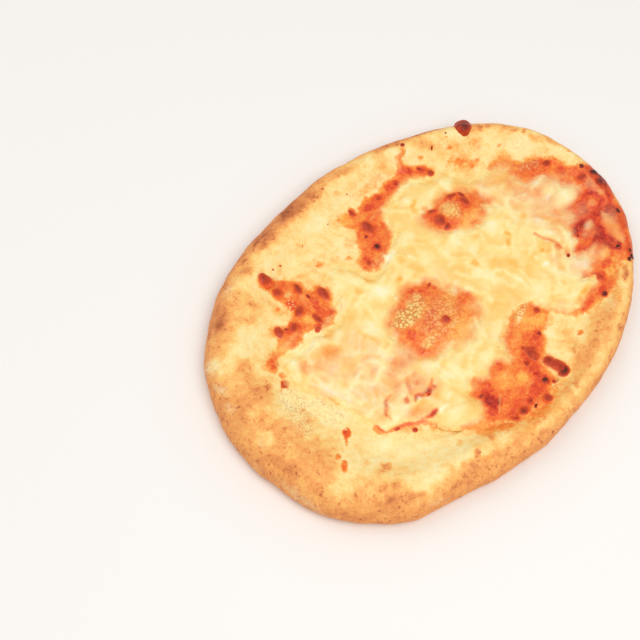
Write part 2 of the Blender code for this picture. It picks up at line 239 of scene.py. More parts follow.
class Sheet:
    """A level grid of points over the whole pizza, on which layers are laid and read."""

    # The height at which the marks are laid; the camera sees them from its own angle.
    LEVEL = 12.0
    PITCH = 0.6
    HALF_LENGTH = 165.0
    HALF_WIDTH = 126.0

    def __init__(self) -> None:
        """Lay out the points."""
        self.columns = round(2.0 * self.HALF_LENGTH / self.PITCH) + 1
        self.rows = round(2.0 * self.HALF_WIDTH / self.PITCH) + 1
        xs = np.linspace(-self.HALF_LENGTH, self.HALF_LENGTH, self.columns)
        ys = np.linspace(-self.HALF_WIDTH, self.HALF_WIDTH, self.rows)
        self.x, self.y = np.meshgrid(xs, ys)

    def blank(self) -> np.ndarray:
        """A layer of zeros."""
        return np.zeros((self.rows, self.columns))

    def place(self, x: np.ndarray, y: np.ndarray) -> tuple[np.ndarray, np.ndarray]:
        """Column and row of places, as numbers with fractions."""
        return (x + self.HALF_LENGTH) / self.PITCH, (y + self.HALF_WIDTH) / self.PITCH

    def read(self, layer: np.ndarray, x: np.ndarray, y: np.ndarray) -> np.ndarray:
        """Read a layer at places between its points.

        Args:
            layer: The layer to read.
            x: Places along X.
            y: Places along Y.

        Returns:
            The layer's value at each place.
        """
        u, v = self.place(np.asarray(x, float), np.asarray(y, float))
        u = np.clip(u, 0.0, self.columns - 1.001)
        v = np.clip(v, 0.0, self.rows - 1.001)
        column, row = u.astype(int), v.astype(int)
        fu, fv = u - column, v - row
        near = layer[row, column] * (1.0 - fu) + layer[row, column + 1] * fu
        far = layer[row + 1, column] * (1.0 - fu) + layer[row + 1, column + 1] * fu
        return near * (1.0 - fv) + far * fv

    def seen(self, x: np.ndarray, y: np.ndarray, z: np.ndarray) -> tuple[np.ndarray, np.ndarray]:
        """Where on the sheet a point is seen: higher points show farther from the camera."""
        lean = (z - self.LEVEL) / math.tan(math.radians(Studio.elevation))
        heading = math.radians(Studio.heading)
        return x + lean * math.cos(heading), y + lean * math.sin(heading)

    def noise(self, size: float, seed: int) -> np.ndarray:
        """A layer of smooth random relief with bumps of one size."""
        return Grain(seed, size).at(self.x, self.y)

    def rough(self, size: float, seed: int, octaves: int = 3) -> np.ndarray:
        """A layer of relief with ever finer bumps, each half as high as those before."""
        return sum(self.noise(size / 2 ** k, seed + 11 * k) / 2 ** k for k in range(octaves))

    def blur(self, layer: np.ndarray, radius: float) -> np.ndarray:
        """Soften a layer over a radius."""
        wave_y = np.fft.fftfreq(self.rows, self.PITCH)[:, None]
        wave_x = np.fft.rfftfreq(self.columns, self.PITCH)[None, :]
        fade = np.exp(-2.0 * (math.pi * radius) ** 2 * (wave_x ** 2 + wave_y ** 2))
        return np.fft.irfft2(np.fft.rfft2(layer) * fade, s=layer.shape)

    def paint(self, marks: Iterable[Mark], ragged: float = 0.8, seed: int = 1) -> np.ndarray:
        """Lay marks one over another; a negative strength wipes what is below.

        Args:
            marks: The marks in the order they are laid.
            ragged: How far their edges wander, in millimetres.
            seed: Which way they wander.

        Returns:
            A layer between 0 and 1.
        """
        x, y = self.warped(ragged, seed)
        layer = self.blank()
        for mark in marks:
            low_x, high_x, low_y, high_y = mark.reach()
            margin = 2.0 * ragged + self.PITCH
            u, v = self.place(np.array([low_x - margin, high_x + margin]),
                              np.array([low_y - margin, high_y + margin]))
            across = slice(max(int(u[0]), 0), int(u[1]) + 2)
            down = slice(max(int(v[0]), 0), int(v[1]) + 2)
            cover = mark.cover(x[down, across], y[down, across])
            part = layer[down, across]
            if mark.strength >= 0.0:
                part += (1.0 - part) * cover * mark.strength
            else:
                part *= 1.0 + cover * mark.strength
        return layer

    def warped(self, ragged: float, seed: int) -> tuple[np.ndarray, np.ndarray]:
        """The points' places, moved about a little so that outlines get ragged."""
        x = self.x + ragged * (self.noise(5.0, seed) + 0.6 * self.noise(1.9, seed + 1))
        y = self.y + ragged * (self.noise(5.0, seed + 2) + 0.6 * self.noise(1.9, seed + 3))
        return x, y

    def depth(self, patches: Sequence[Patch], ragged: float = 0.0, seed: int = 1) -> np.ndarray:
        """Distance inside any of some outlines, less than zero outside them.

        Args:
            patches: The shapes.
            ragged: How far their outlines wander, in millimetres.
            seed: Which way they wander.

        Returns:
            A layer of distances in millimetres.
        """
        x, y = self.warped(ragged, seed)
        return np.max([patch.depth(x, y) for patch in patches], axis=0)


# ---------------------------------------------------------------- mesh work
def coordinates(mesh: bpy.types.Mesh) -> np.ndarray:
    """A mesh's points, in millimetres."""
    flat = np.empty(3 * len(mesh.vertices))
    mesh.vertices.foreach_get("co", flat)
    return flat.reshape(-1, 3) / MM


def move_points(mesh: bpy.types.Mesh, points: np.ndarray) -> None:
    """Put a mesh's points at new places, given in millimetres."""
    mesh.vertices.foreach_set("co", (points * MM).astype(np.float32).ravel())
    mesh.update()


def normals(mesh: bpy.types.Mesh) -> np.ndarray:
    """The direction of a mesh's surface at each point."""
    flat = np.empty(3 * len(mesh.vertices), np.float32)
    mesh.vertex_normals.foreach_get("vector", flat)
    return flat.reshape(-1, 3).astype(float)


def select_points(mesh: bpy.types.Mesh, chosen: np.ndarray) -> None:
    """Select only the chosen points, ready for edit mode."""
    mesh.polygons.foreach_set("select", np.zeros(len(mesh.polygons), bool))
    mesh.edges.foreach_set("select", np.zeros(len(mesh.edges), bool))
    mesh.vertices.foreach_set("select", chosen)


def write_layer(mesh: bpy.types.Mesh, name: str, values: np.ndarray) -> None:
    """Store one number a point on a mesh, for its finish to read."""
    made = mesh.attributes.new(name, "FLOAT", "POINT")
    made.data.foreach_set("value", values.astype(np.float32))


def surface_tree(mesh: bpy.types.Mesh) -> BVHTree:
    """A mesh's surface, in millimetres, ready to be looked down on."""
    corners = [tuple(face.vertices) for face in mesh.polygons]
    return BVHTree.FromPolygons([Vector(point) for point in coordinates(mesh)], corners)


def look_down(tree: BVHTree, x: np.ndarray, y: np.ndarray, missing: float) -> np.ndarray:
    """Height of a surface seen from above at places, or missing where there is none."""
    down = Vector((0.0, 0.0, -1.0))
    above = 60.0
    heights = []
    for place_x, place_y in zip(x.ravel(), y.ravel()):
        hit = tree.ray_cast(Vector((place_x, place_y, above)), down)[0]
        heights.append(missing if hit is None else hit.z)
    return np.array(heights).reshape(x.shape)


# ---------------------------------------------------------------- finishes
class Shader:
    """One material's node tree, put together in few words."""

    def __init__(self, name: str) -> None:
        """Start a material with its Principled shader."""
        self.material = bpy.data.materials.new(name)
        self.material.use_nodes = True
        self.tree = self.material.node_tree
        self.surface = self.tree.nodes["Principled BSDF"]
        self.coordinates = self.tree.nodes.new("ShaderNodeTexCoord").outputs["Object"]

    def plug(self, socket: bpy.types.NodeSocket, value: object) -> None:
        """Link a socket to an input, or set the input to a value."""
        if isinstance(value, bpy.types.NodeSocket):
            self.tree.links.new(value, socket)
        else:
            socket.default_value = value

    def node(self, kind: str, inputs: dict | None = None, **settings: object) -> bpy.types.Node:
        """Add a node.

        Args:
            kind: The node's type.
            inputs: Values or sockets for its inputs, by name or number.
            settings: Its own settings.

        Returns:
            The new node.
        """
        made = self.tree.nodes.new(kind)
        for name, value in settings.items():
            setattr(made, name, value)
        for name, value in (inputs or {}).items():
            self.plug(made.inputs[name], value)
        return made

    def layer(self, name: str) -> bpy.types.NodeSocket:
        """Read a layer that is stored on the mesh."""
        return self.node("ShaderNodeAttribute", attribute_name=name).outputs["Fac"]

    def noise(self, size: float, detail: float, roughness: float,
              distortion: float = 0.0) -> bpy.types.NodeSocket:
        """Cloudy noise, 0 to 1, with clouds of a size in millimetres."""
        return self.node("ShaderNodeTexNoise", {
            "Vector": self.coordinates, "Scale": 1.0 / (size * MM), "Detail": detail,
            "Roughness": roughness, "Distortion": distortion}).outputs["Fac"]

    def cells(self, size: float) -> bpy.types.NodeSocket:
        """How far from the middle of a grain, with grains of a size in millimetres."""
        return self.node("ShaderNodeTexVoronoi", {
            "Vector": self.coordinates, "Scale": 1.0 / (size * MM)}).outputs["Distance"]

    def add(self, *values: object) -> bpy.types.NodeSocket:
        """The sum of numbers."""
        total = values[0]
        for value in values[1:]:
            total = self.node("ShaderNodeMath", {0: total, 1: value}, operation="ADD").outputs[0]
        return total

    def times(self, first: object, second: object) -> bpy.types.NodeSocket:
        """The product of two numbers."""
        return self.node("ShaderNodeMath", {0: first, 1: second}, operation="MULTIPLY").outputs[0]

    def spread(self, value: bpy.types.NodeSocket, low: float, high: float,
               to_low: float = 0.0, to_high: float = 1.0) -> bpy.types.NodeSocket:
        """Go smoothly from to_low to to_high while the value goes from low to high."""
        return self.node("ShaderNodeMapRange", {
            "Value": value, "From Min": low, "From Max": high, "To Min": to_low,
            "To Max": to_high}, interpolation_type="SMOOTHSTEP").outputs[0]

    def ramp(self, value: bpy.types.NodeSocket,
             stops: Sequence[tuple[float, tuple[float, float, float, float]]]
             ) -> bpy.types.NodeSocket:
        """Turn a number into a colour.

        Args:
            value: The number, 0 to 1.
            stops: Places from 0 to 1, each with its colour.

        Returns:
            The colour's socket.
        """
        made = self.node("ShaderNodeValToRGB", {"Fac": value})
        elements = made.color_ramp.elements
        elements[0].position, elements[0].color = stops[0]
        elements[1].position, elements[1].color = stops[-1]
        for place, colour in stops[1:-1]:
            elements.new(place).color = colour
        return made.outputs["Color"]

    def mixed(self, kind: str, ending: str, share: object, first: object,
              second: object) -> bpy.types.NodeSocket:
        """Go from the first value to the second by a share.

        Args:
            kind: What kind of values they are.
            ending: How the names of such values' sockets end.
            share: How far to go, 0 to 1.
            first: The value at 0.
            second: The value at 1.

        Returns:
            The result's socket.
        """
        made = self.node("ShaderNodeMix", data_type=kind)
        sockets = {socket.identifier: socket for socket in made.inputs}
        self.plug(sockets["Factor_Float"], share)
        self.plug(sockets["A_" + ending], first)
        self.plug(sockets["B_" + ending], second)
        return next(s for s in made.outputs if s.identifier == "Result_" + ending)

    def mix(self, share: object, first: object, second: object) -> bpy.types.NodeSocket:
        """Lay a share of the second colour over the first."""
        return self.mixed("RGBA", "Color", share, first, second)

    def blend(self, share: object, first: object, second: object) -> bpy.types.NodeSocket:
        """Go from the first number to the second by a share."""
        return self.mixed("FLOAT", "Float", share, first, second)

    def bump(self, height: bpy.types.NodeSocket, depth: float) -> bpy.types.NodeSocket:
        """Fine relief of a depth in millimetres."""
        return self.node("ShaderNodeBump", {
            "Height": height, "Distance": depth * MM, "Strength": 1.0}).outputs[0]

    def finish(self, **sockets: object) -> bpy.types.Material:
        """Set or link the Principled shader's sockets, named with _ for a space.

        Args:
            sockets: Values or sockets by name.

        Returns:
            The finished material.
        """
        for name, value in sockets.items():
            self.plug(self.surface.inputs[name.replace("_", " ")], value)
        return self.material


class Layer(Enum):
    """What the finishes read from a mesh: how much there is of each, 0 to 1."""

    # browning of the crust, with painted shade on the far rim and in the near hollow
    TOAST_AND_SHADE = "toast_and_shade"
    FLOUR = "flour"
    SAUCE = "sauce"
    DEEP = "deep"
    MELT = "melt"
    RICH = "rich"
    GRAIN = "grain"
    BROWN = "brown"


Colours = dict[Layer, np.ndarray]


def dress(mesh: bpy.types.Mesh, colours: Colours) -> None:
    """Store every layer on a mesh."""
    for layer, values in colours.items():
        write_layer(mesh, layer.value, np.clip(values, 0.0, 1.0))


@dataclass(frozen=True)
class PizzaFinish:
    """One of the pizza's surfaces: dough, sauce, cheese and browned spots in one look.

    Sauce thins out over dough and cheese over sauce, so each surface shows all of them
    and they differ in gloss, softness and the depth of their fine relief only.
    """

    name: str
    gloss: float
    softness: float
    depth: float = 0.5

    DOUGH = ((0.0, srgb(255, 240, 184)), (0.18, srgb(255, 226, 152)), (0.34, srgb(253, 200, 116)),
             (0.5, srgb(247, 170, 94)), (0.66, srgb(224, 138, 78)), (0.8, srgb(188, 104, 56)),
             (0.9, srgb(142, 76, 42)), (1.0, srgb(64, 30, 22)))
    SAUCE = ((0.0, srgb(255, 194, 90)), (0.2, srgb(254, 162, 70)), (0.4, srgb(248, 124, 48)),
             (0.6, srgb(236, 86, 34)), (0.8, srgb(200, 46, 22)), (1.0, srgb(132, 22, 14)))
    # The cheese's palest stop is also the colour of the painted highlights on it.
    CHEESE = ((0.0, srgb(255, 251, 222)), (0.14, srgb(255, 243, 184)), (0.36, srgb(255, 231, 156)),
              (0.56, srgb(254, 214, 126)), (0.76, srgb(252, 190, 90)), (1.0, srgb(244, 156, 58)))
    BROWN = ((0.0, srgb(242, 110, 46)), (0.3, srgb(222, 84, 34)), (0.55, srgb(182, 56, 22)),
             (0.75, srgb(132, 38, 16)), (1.0, srgb(44, 14, 10)))
    FLOUR = srgb(255, 240, 188)
    CRUMB = srgb(254, 228, 150)
    CRACK = srgb(208, 128, 58)

    # Sizes of what the eye sees in them, in millimetres.
    CLOUDS = 5.0
    FINE = 1.2
    PULP = 2.6
    SMALL_FRECKLES = 2.1
    LARGE_FRECKLES = 5.2
    DUST = 1.8
    KERNELS = 1.8
    OIL = 7.0
    DIMPLES = 3.6
    # How dull each of them is.
    DULL_DOUGH = 0.62
    DULL_SAUCE = 0.34
    DULL_CHEESE = 0.4
    DULL_BROWN = 0.36
    # How far light goes into them, in metres, and how red, green and blue light share in it.
    LIGHT_DEPTH = 0.0025
    LIGHT_REACH = (1.0, 0.5, 0.2)
    COAT_DULL = 0.2
    SHINE = 0.3

    def material(self) -> bpy.types.Material:
        """Make the finish."""
        shader = Shader(self.name)
        clouds = shader.noise(self.CLOUDS, 4.0, 0.6, 0.3)
        fine = shader.noise(self.FINE, 3.0, 0.6)
        pulp = shader.noise(self.PULP, 4.0, 0.62, 0.5)

        # The browning layer also holds painted shade on the far rim and in the near hollow.
        toast_and_shade = shader.add(shader.layer(Layer.TOAST_AND_SHADE.value),
                           shader.spread(clouds, 0.3, 0.7, -0.07, 0.07),
                           shader.spread(fine, 0.3, 0.7, -0.05, 0.05))
        freckle = shader.add(
            shader.spread(shader.noise(self.SMALL_FRECKLES, 2.0, 0.5), 0.58, 0.72),
            shader.spread(shader.noise(self.LARGE_FRECKLES, 3.0, 0.6), 0.58, 0.74))
        share = shader.times(shader.spread(shader.layer(Layer.TOAST_AND_SHADE.value), 0.22, 0.46, 0.0, 0.2),
                             shader.spread(shader.layer(Layer.TOAST_AND_SHADE.value), 0.56, 0.76, 1.0, 0.0))
        freckle = shader.times(freckle, share)
        colour = shader.ramp(shader.add(toast_and_shade, freckle), self.DOUGH)
        dust = shader.times(shader.layer(Layer.FLOUR.value),
                            shader.spread(shader.noise(self.DUST, 4.0, 0.7), 0.32, 0.62))
        colour = shader.mix(dust, colour, self.FLOUR)

        sauce = shader.spread(shader.add(shader.layer(Layer.SAUCE.value),
                                         shader.spread(pulp, 0.3, 0.7, -0.14, 0.14)), 0.14, 0.8)
        deep = shader.add(shader.layer(Layer.DEEP.value),
                          shader.spread(pulp, 0.3, 0.7, -0.12, 0.12),
                          shader.spread(fine, 0.3, 0.7, -0.05, 0.05))
        colour = shader.mix(sauce, colour, shader.ramp(deep, self.SAUCE))

        grain = shader.layer(Layer.GRAIN.value)
        kernel = shader.spread(shader.cells(self.KERNELS), 0.25, 0.62, 1.0, 0.0)
        colour = shader.mix(shader.times(grain, shader.spread(kernel, 0.0, 1.0, 0.12, 0.85)),
                            colour, self.CRUMB)
        crack = shader.times(grain, shader.spread(kernel, 0.0, 0.35, 0.7, 0.0))
        colour = shader.mix(crack, colour, self.CRACK)

        melt = shader.spread(shader.add(shader.layer(Layer.MELT.value),
                                        shader.spread(clouds, 0.3, 0.7, -0.08, 0.08),
                                        shader.spread(fine, 0.3, 0.7, -0.04, 0.04)), 0.0, 1.0)
        melt = shader.blend(0.7, melt, shader.layer(Layer.MELT.value))
        rich = shader.add(shader.layer(Layer.RICH.value),
                          shader.spread(shader.noise(self.OIL, 3.0, 0.55), 0.3, 0.7, -0.07, 0.07),
                          shader.spread(fine, 0.3, 0.7, -0.03, 0.03))
        colour = shader.mix(melt, colour, shader.ramp(rich, self.CHEESE))

        brown = shader.layer(Layer.BROWN.value)
        mottle = shader.add(brown, shader.spread(pulp, 0.3, 0.7, -0.1, 0.1))
        colour = shader.mix(shader.spread(brown, 0.04, 0.36), colour,
                            shader.ramp(mottle, self.BROWN))

        crust_relief = shader.add(shader.times(fine, 0.5), shader.times(clouds, 0.7))
        sauce_relief = shader.add(pulp, shader.times(fine, 0.4))
        cheese_relief = shader.times(shader.noise(self.DIMPLES, 2.0, 0.5), 0.7)
        relief = shader.blend(melt, shader.blend(sauce, crust_relief, sauce_relief), cheese_relief)
        relief = shader.add(relief, shader.times(grain, shader.times(kernel, 0.5)))
        rough = shader.blend(sauce, self.DULL_DOUGH, self.DULL_SAUCE)
        rough = shader.blend(melt, rough, self.DULL_CHEESE)
        rough = shader.blend(shader.spread(brown, 0.0, 0.5), rough, self.DULL_BROWN)
        return shader.finish(Base_Color=colour, Roughness=rough,
                             Normal=shader.bump(relief, self.depth),
                             Subsurface_Weight=self.softness,
                             Subsurface_Scale=self.LIGHT_DEPTH,
                             Subsurface_Radius=self.LIGHT_REACH,
                             Specular_IOR_Level=self.SHINE,
                             Coat_Weight=self.gloss, Coat_Roughness=self.COAT_DULL)


@dataclass(frozen=True)
class FloorFinish:
    """The plain pale floor."""

    colour: tuple = srgb(247, 246, 244)

    def material(self) -> bpy.types.Material:
        """Make the finish."""
        shader = Shader("studio_floor")
        return shader.finish(Base_Color=self.colour, Roughness=0.9)


# ---------------------------------------------------------------- dough
@dataclass(frozen=True)
class RimProfile:
    """The rim's cross-section all the way round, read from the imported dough.

    radii and heights hold a row for each ring, from the sole's edge over the widest line
    and the crest down to the floor, and a column for each bearing.
    """

    radii: np.ndarray
    heights: np.ndarray

    SIDES = 64
    LOWER_RINGS = 3
    UPPER_RINGS = 10
    CREST = 7

    @classmethod
    def read(cls, node: bpy.types.Object) -> "RimProfile":
        """Sort the dough's corners by bearing, and along the section at each bearing.

        Args:
            node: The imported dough.

        Returns:
            The profile.
        """
        corners = np.unique(np.round(coordinates(node.data), 2), axis=0)
        reach = np.hypot(corners[:, 0], corners[:, 1])
        bearing = np.degrees(np.arctan2(corners[:, 1], corners[:, 0])) % 360.0
        column = np.round(bearing * cls.SIDES / 360.0).astype(int) % cls.SIDES
        radii, heights = [], []
        for side in range(cls.SIDES):
            mine = (column == side) & (reach > 1.0)
            section = np.stack([reach[mine], corners[mine, 2]], axis=1)
            belt = section[section[:, 0].argmax()]
            is_lower = section[:, 1] < belt[1] - 0.1
            lower = section[is_lower]
            upper = section[~is_lower]
            lower = lower[lower[:, 1].argsort()][:cls.LOWER_RINGS]
            upper = upper[(-upper[:, 0]).argsort()][:cls.UPPER_RINGS]
            rings = np.concatenate([lower, upper])
            radii.append(rings[:, 0])
            heights.append(rings[:, 1])
        return cls(np.array(radii).T, np.array(heights).T)

    def crest(self) -> Patch:
        """The outline that runs along the rim's crest."""
        turns = 2.0 * math.pi * np.arange(self.SIDES) / self.SIDES
        radius = self.radii[self.CREST]
        return Patch(tuple(zip(radius * np.cos(turns), radius * np.sin(turns))))

    def at(self, ring: np.ndarray, bearing: np.ndarray) -> tuple[np.ndarray, np.ndarray]:
        """Radius and height between rings and bearings.

        Args:
            ring: How far along the section, in rings.
            bearing: The bearing in degrees.

        Returns:
            The radius and the height, in millimetres.
        """
        last = len(self.radii) - 1
        index = np.clip(np.floor(ring).astype(int), 0, last - 1)
        along = ring - index
        place = (bearing % 360.0) * self.SIDES / 360.0
        side = np.floor(place).astype(int)
        round_it = place - side
        found = []
        for table in (self.radii, self.heights):
            rows = []
            for step in (-1, 0, 1, 2):
                row = np.clip(index + step, 0, last)
                values = [table[row, (side + turn) % self.SIDES] for turn in (-1, 0, 1, 2)]
                rows.append(between(*values, round_it))
            found.append(between(*rows, along))
        return found[0], found[1]


@dataclass
class DoughBase:
    """The baked dough: a smooth dense shape with blisters, dimples, browning, flour, and painted
    shade on its far rim and in its near hollow.
    """

    sheet: Sheet
    around: int = 760
    floor_height: float = 8.5
    # Blisters: how many, how far out as shares of the pizza's half size, how big and how strong.
    blister_count: int = 90
    blister_band: tuple[float, float] = (0.72, 0.98)
    blister_sizes: tuple[float, float] = (4.0, 11.0)
    blister_strengths: tuple[float, float] = (0.25, 0.8)
    # Rows of the shape's net between two rings of the section: how many, up to which ring.
    net: tuple[tuple[int, float], ...] = ((7, 0.0), (12, 3.0), (20, 7.0), (46, 12.0), (30, 13.0))

    # Two bubbles of dough that push up through the toppings.
    BUBBLES = marks((-8, -9, 62, 52, 5, -12), (62, 26, 48, 34, 4.2, -8), soft=1)

    # Mounds and hollows of a few millimetres.
    RAISED = marks(
        (-118, -60, 22, 14, 0.9, -30), (-128, 30, 24, 14, 0.7, 60), (-60, 92, 26, 9, 0.8, 10),
        (-20, 98, 30, 8, 0.7), (113, 58, 12, 10, 0.8, 30), (125, 48, 16, 9, 0.6, -50),
        (-65, -84, 20, 9, 0.7, -15), (((-66, -74), (-34, -86), (6, -90), (40, -86), (66, -75)), 16),
        soft=1)
    SUNK = marks(
        (((-101, -36), (-90, -41), (-78, -47), (-66, -56), (-58, -64)), 9, 0.8),
        (((40, -55), (42, -62), (45, -69), (50, -74)), 4, 0.6), (-84, -40, 18, 8, 0.5, -35, 1),
        soft=0.8)

    TOAST_BASE = 0.19
    SIDE_TOAST = 0.64
    MOST_TOAST = 0.8
    TOAST_AND_SHADE = marks(
        # left end
        (-125, -2, 46, 92, 0.28, 0, 0.9), (-138, -4, 20, 50, 0.2, 0, 1),
        (-138, 4, 14, 20, 0.16, 0, 1), (-116, 42, 48, 50, 0.3, 30, 0.8),
        (-136, -8, 14, 12, 0.2, 0, 1), (-143, -10, 7, 14, 0.25, 0, 1),
        (-136, -27, 14, 16, 0.24, 0, 1), (-124, -20, 14, 12, 0.15, 0, 1),
        (-112, -6.5, 7, 5, 0.22, 0, 0.8), (-105.5, 34.5, 6, 5, 0.25, 0, 0.8),
        # the spot at (-147, 5) darkens the crust at the far left edge
        (-132, 34, 14, 22, 0.2, 25), (-118, 38, 24, 12, 0.14), (-147, 5, 6, 12, 0.2, 0, 1),
        (-130, -15, 14, 12, 0.12), (-110, 4, 12, 12, 0.12), (-104, 12, 8, 16, 0.1),
        # lower left
        (-118, -52, 44, 40, 0.22, 45, 0.9), (-112, -62, 30, 22, 0.16, 35, 1),
        (-116, -58, 11, 8, 0.26, 0, 0.8), (-112, -61, 8, 6, 0.2, 0, 0.8), (-112, -51, 9, 6, 0.2),
        (-122, -54, 9, 7, 0.22), (-117, -64, 8, 5, 0.2), (-105, -68, 10, 6, 0.24, -30),
        (-101, -69.5, 6, 4, 0.24), (-102, -46, 10, 4, 0.3, -25), (-102.5, -43.5, 3, 3, 0.3),
        (-94, -45, 5, 4, 0.16), (-106, -55, 9, 6, 0.14), (-108, -74, 9, 5, 0.2, -30),
        (-128, -42, 12, 10, 0.12),
        # bottom
        (-70, -84, 64, 20, 0.28, -22, 0.9), (-63, -79, 6, 5, 0.42), (-69, -81, 6, 5, 0.24),
        (-73, -77, 5, 4, 0.22), (-50, -79, 6, 6, 0.3), (-57, -86, 8, 5, 0.26),
        (-80, -87, 6, 4, 0.25), (-86, -82, 8, 4, 0.2, -20), (-64, -68, 6, 5, 0.22),
        (-40, -92, 34, 12, 0.22, -10, 0.9), (-30, -100, 50, 8, 0.2, -4, 0.9),
        (0, -99, 8, 14, 0.2, -30), (9, -97, 9, 4, 0.25, 50), (20, -93, 60, 18, 0.18, 4, 0.9),
        (38, -91, 8, 6, 0.15), (50, -90, 50, 18, 0.22, 16, 0.9), (57, -96, 9, 4, 0.3, 20),
        (72, -84, 30, 12, 0.2, 22, 0.9), (92, -77, 18, 7, 0.4, 28, 0.8), (88, -79, 10, 4, 0.16, 25),
        (26, -84, 7, 6, 0.2),
        # upper left
        (-92, 82, 18, 10, 0.18, 38, 0.9), (-90, 82, 5, 4, 0.16), (-90, 75, 4, 4, 0.2),
        (-74, 76, 40, 24, 0.22, 35, 1), (34, -76, 40, 30, 0.08, 0, 1), (-106, 54, 6, 5, 0.14),
        (-104, 52, 20, 16, 0.16, 40, 0.9), (-78, 70, 8, 6, 0.1), (-128, 47, 8, 12, 0.12, 30),
        # far side: browning together with painted shade, browner along the far edge
        (-54, 93, 16, 14, 0.3, 10, 0.9), (-50, 99, 8, 3, 0.4, 10), (-33, 103, 14, 4, 0.3, 2),
        (-20, 104, 200, 34, 0.5, 0, 1), (-90, 84, 70, 32, 0.45, 34, 1),
        (84, 86, 74, 28, 0.42, -28, 1), (-14, -99, 100, 20, 0.14, 0, 1),
        # painted shade: a warm tone along the hollow inside the near rim
        (((-64, -76), (-34, -88), (6, -92), (40, -87), (64, -77)), 15, 0.1, 1),
        (-32, 97, 16, 6, 0.24), (-10, 104, 30, 8, 0.2, 0, 0.9), (0, 99, 70, 12, 0.22, -4, 0.9),
        (16, 97, 14, 7, 0.16), (40, 95, 34, 10, 0.25, -12, 0.9), (24, 88, 5, 6, 0.16),
        (51, 87, 5, 6, 0.16), (70, 87, 34, 10, 0.3, -22, 0.9), (96, 77, 24, 8, 0.4, -30, 0.9),
        (104, 73, 14, 5, 0.4, -32), (60, 82, 18, 12, 0.16, 0, 0.9),
        (90, 68, 30, 16, 0.16, -20, 0.9),
        # right end
        (118, 56, 26, 16, 0.34, -45, 0.9), (121, 51, 6, 5, 0.3), (126, 49, 5, 5, 0.26),
        (132, 40, 14, 24, 0.25, 25, 0.9), (135, 33, 5, 4, 0.28), (138, 29, 5, 4, 0.28),
        (138, 20, 8, 12, 0.2), (143, 12, 8, 20, 0.3, 4, 0.9), (146, -4, 6, 20, 0.2, 0, 0.9),
        (115, 65, 10, 6, 0.5, -35), (144, -20, 7, 20, 0.5, -10, 0.9),
        (137, -36, 10, 22, 0.5, -28, 0.9), (126, -52, 12, 24, 0.5, -42, 0.9),
        (113, -68, 12, 20, 0.45, -52, 0.9), soft=0.45)
    PALE = marks(
        (-84, -54, 50, 22, 0.45, -40, 0.8), (-96, -36, 30, 22, 0.35, -20, 0.8),
        (10, 85, 90, 14, 0.35, -2, 0.8), (-84, 64, 24, 16, 0.35, 30, 0.8),
        (-98, 8, 14, 40, 0.4, 6, 0.8), (128, 24, 18, 24, 0.55), (138, 4, 8, 16, 0.4),
        (-129, 15, 9, 12, 0.35), (-116, 66, 16, 14, 0.5), (-112, -32, 22, 10, 0.35, 10),
        (-40, 86, 20, 10, 0.4), (70, 82, 14, 6, 0.4, -15), soft=0.45)
    CHAR = marks(
        (116, 64.5, 8, 4, 0.9, -32), (103.5, -75, 8, 2.6, 0.9, 25),
        (((127, -51), (122, -58), (117, -64)), 4, 0.55, 0.8), (109, -70.5, 7, 3, 0.5, 40),
        (((141, -24), (137, -34), (131, -43)), 5, 0.5, 0.8), (57, -96.5, 5, 2.4, 0.3, 20),
        soft=0.45)
    FLOUR = marks(
        (-116, 67, 15, 13, 0.8, 0, 0.8), (-123, 54, 9, 12, 0.7, 0, 0.8), (-129, 43, 8, 12, 0.4),
        (-98, 4, 14, 42, 0.9, 6, 0.4), (-103, 19, 15, 22, 0.8, 0, 0.5), (-110, 12, 20, 30, 0.3),
        (-112, 1, 9, 7, 0.4, 0, 0.8), (-146, -22, 8, 44, 0.4, 0, 0.8), (-133, 16, 9, 13, 0.25),
        (-146, 8, 6, 10, 0.25), (-70, 93, 20, 8, 0.35, 12), (127, 24, 16, 22, 0.4, 0, 0.8),
        (-83, -44, 12, 14, 0.15, -30), (-100, -80, 22, 6, 0.3, -35), (66, -83, 16, 8, 0.3, 15),
        soft=0.9)

    def relief(self) -> np.ndarray:
        """How far the crust stands out of its smooth form at each place of the sheet."""
        sheet = self.sheet
        height = 0.9 * sheet.noise(27.0, 3) + 0.42 * sheet.noise(11.0, 4)
        height += 0.16 * sheet.noise(4.6, 5) + 0.07 * sheet.noise(2.2, 6)
        rng = np.random.default_rng(21)
        blisters = []
        for _ in range(self.blister_count):
            bearing = rng.uniform(0.0, 2.0 * math.pi)
            share = rng.uniform(*self.blister_band)
            size = rng.uniform(*self.blister_sizes)
            blisters.append(Dab(PIZZA_HALF_LENGTH * share * math.cos(bearing),
                                PIZZA_HALF_WIDTH * share * math.sin(bearing),
                                size, size * rng.uniform(0.7, 1.0), turn=rng.uniform(0.0, 180.0),
                                strength=rng.uniform(*self.blister_strengths), soft=1.0))
        height += 0.8 * sheet.paint(blisters, 0.6, 31)
        height += 1.2 * sheet.paint(self.RAISED, 0.5, 41)
        height -= 1.3 * sheet.paint(self.SUNK, 0.5, 43)
        return height

    def colour(self, colours: Colours) -> None:
        """Paint the crust's browning, char and flour on the sheet's layers, with painted shade on
        the far rim and in the near hollow.
        """
        sheet = self.sheet
        layer = sheet.paint(self.TOAST_AND_SHADE, 1.2, 51)
        layer += self.TOAST_BASE + 0.12 * sheet.rough(18.0, 61, 4) + 0.07 * sheet.rough(7.0, 63, 3)
        layer *= 1.0 - sheet.paint(self.PALE, 1.6, 55)
        char = sheet.paint(self.CHAR, 0.8, 77)
        colours[Layer.TOAST_AND_SHADE] = np.clip(layer, 0.0, self.MOST_TOAST) * (1.0 - char) + char
        colours[Layer.FLOUR] = sheet.paint(self.FLOUR, 1.6, 75)

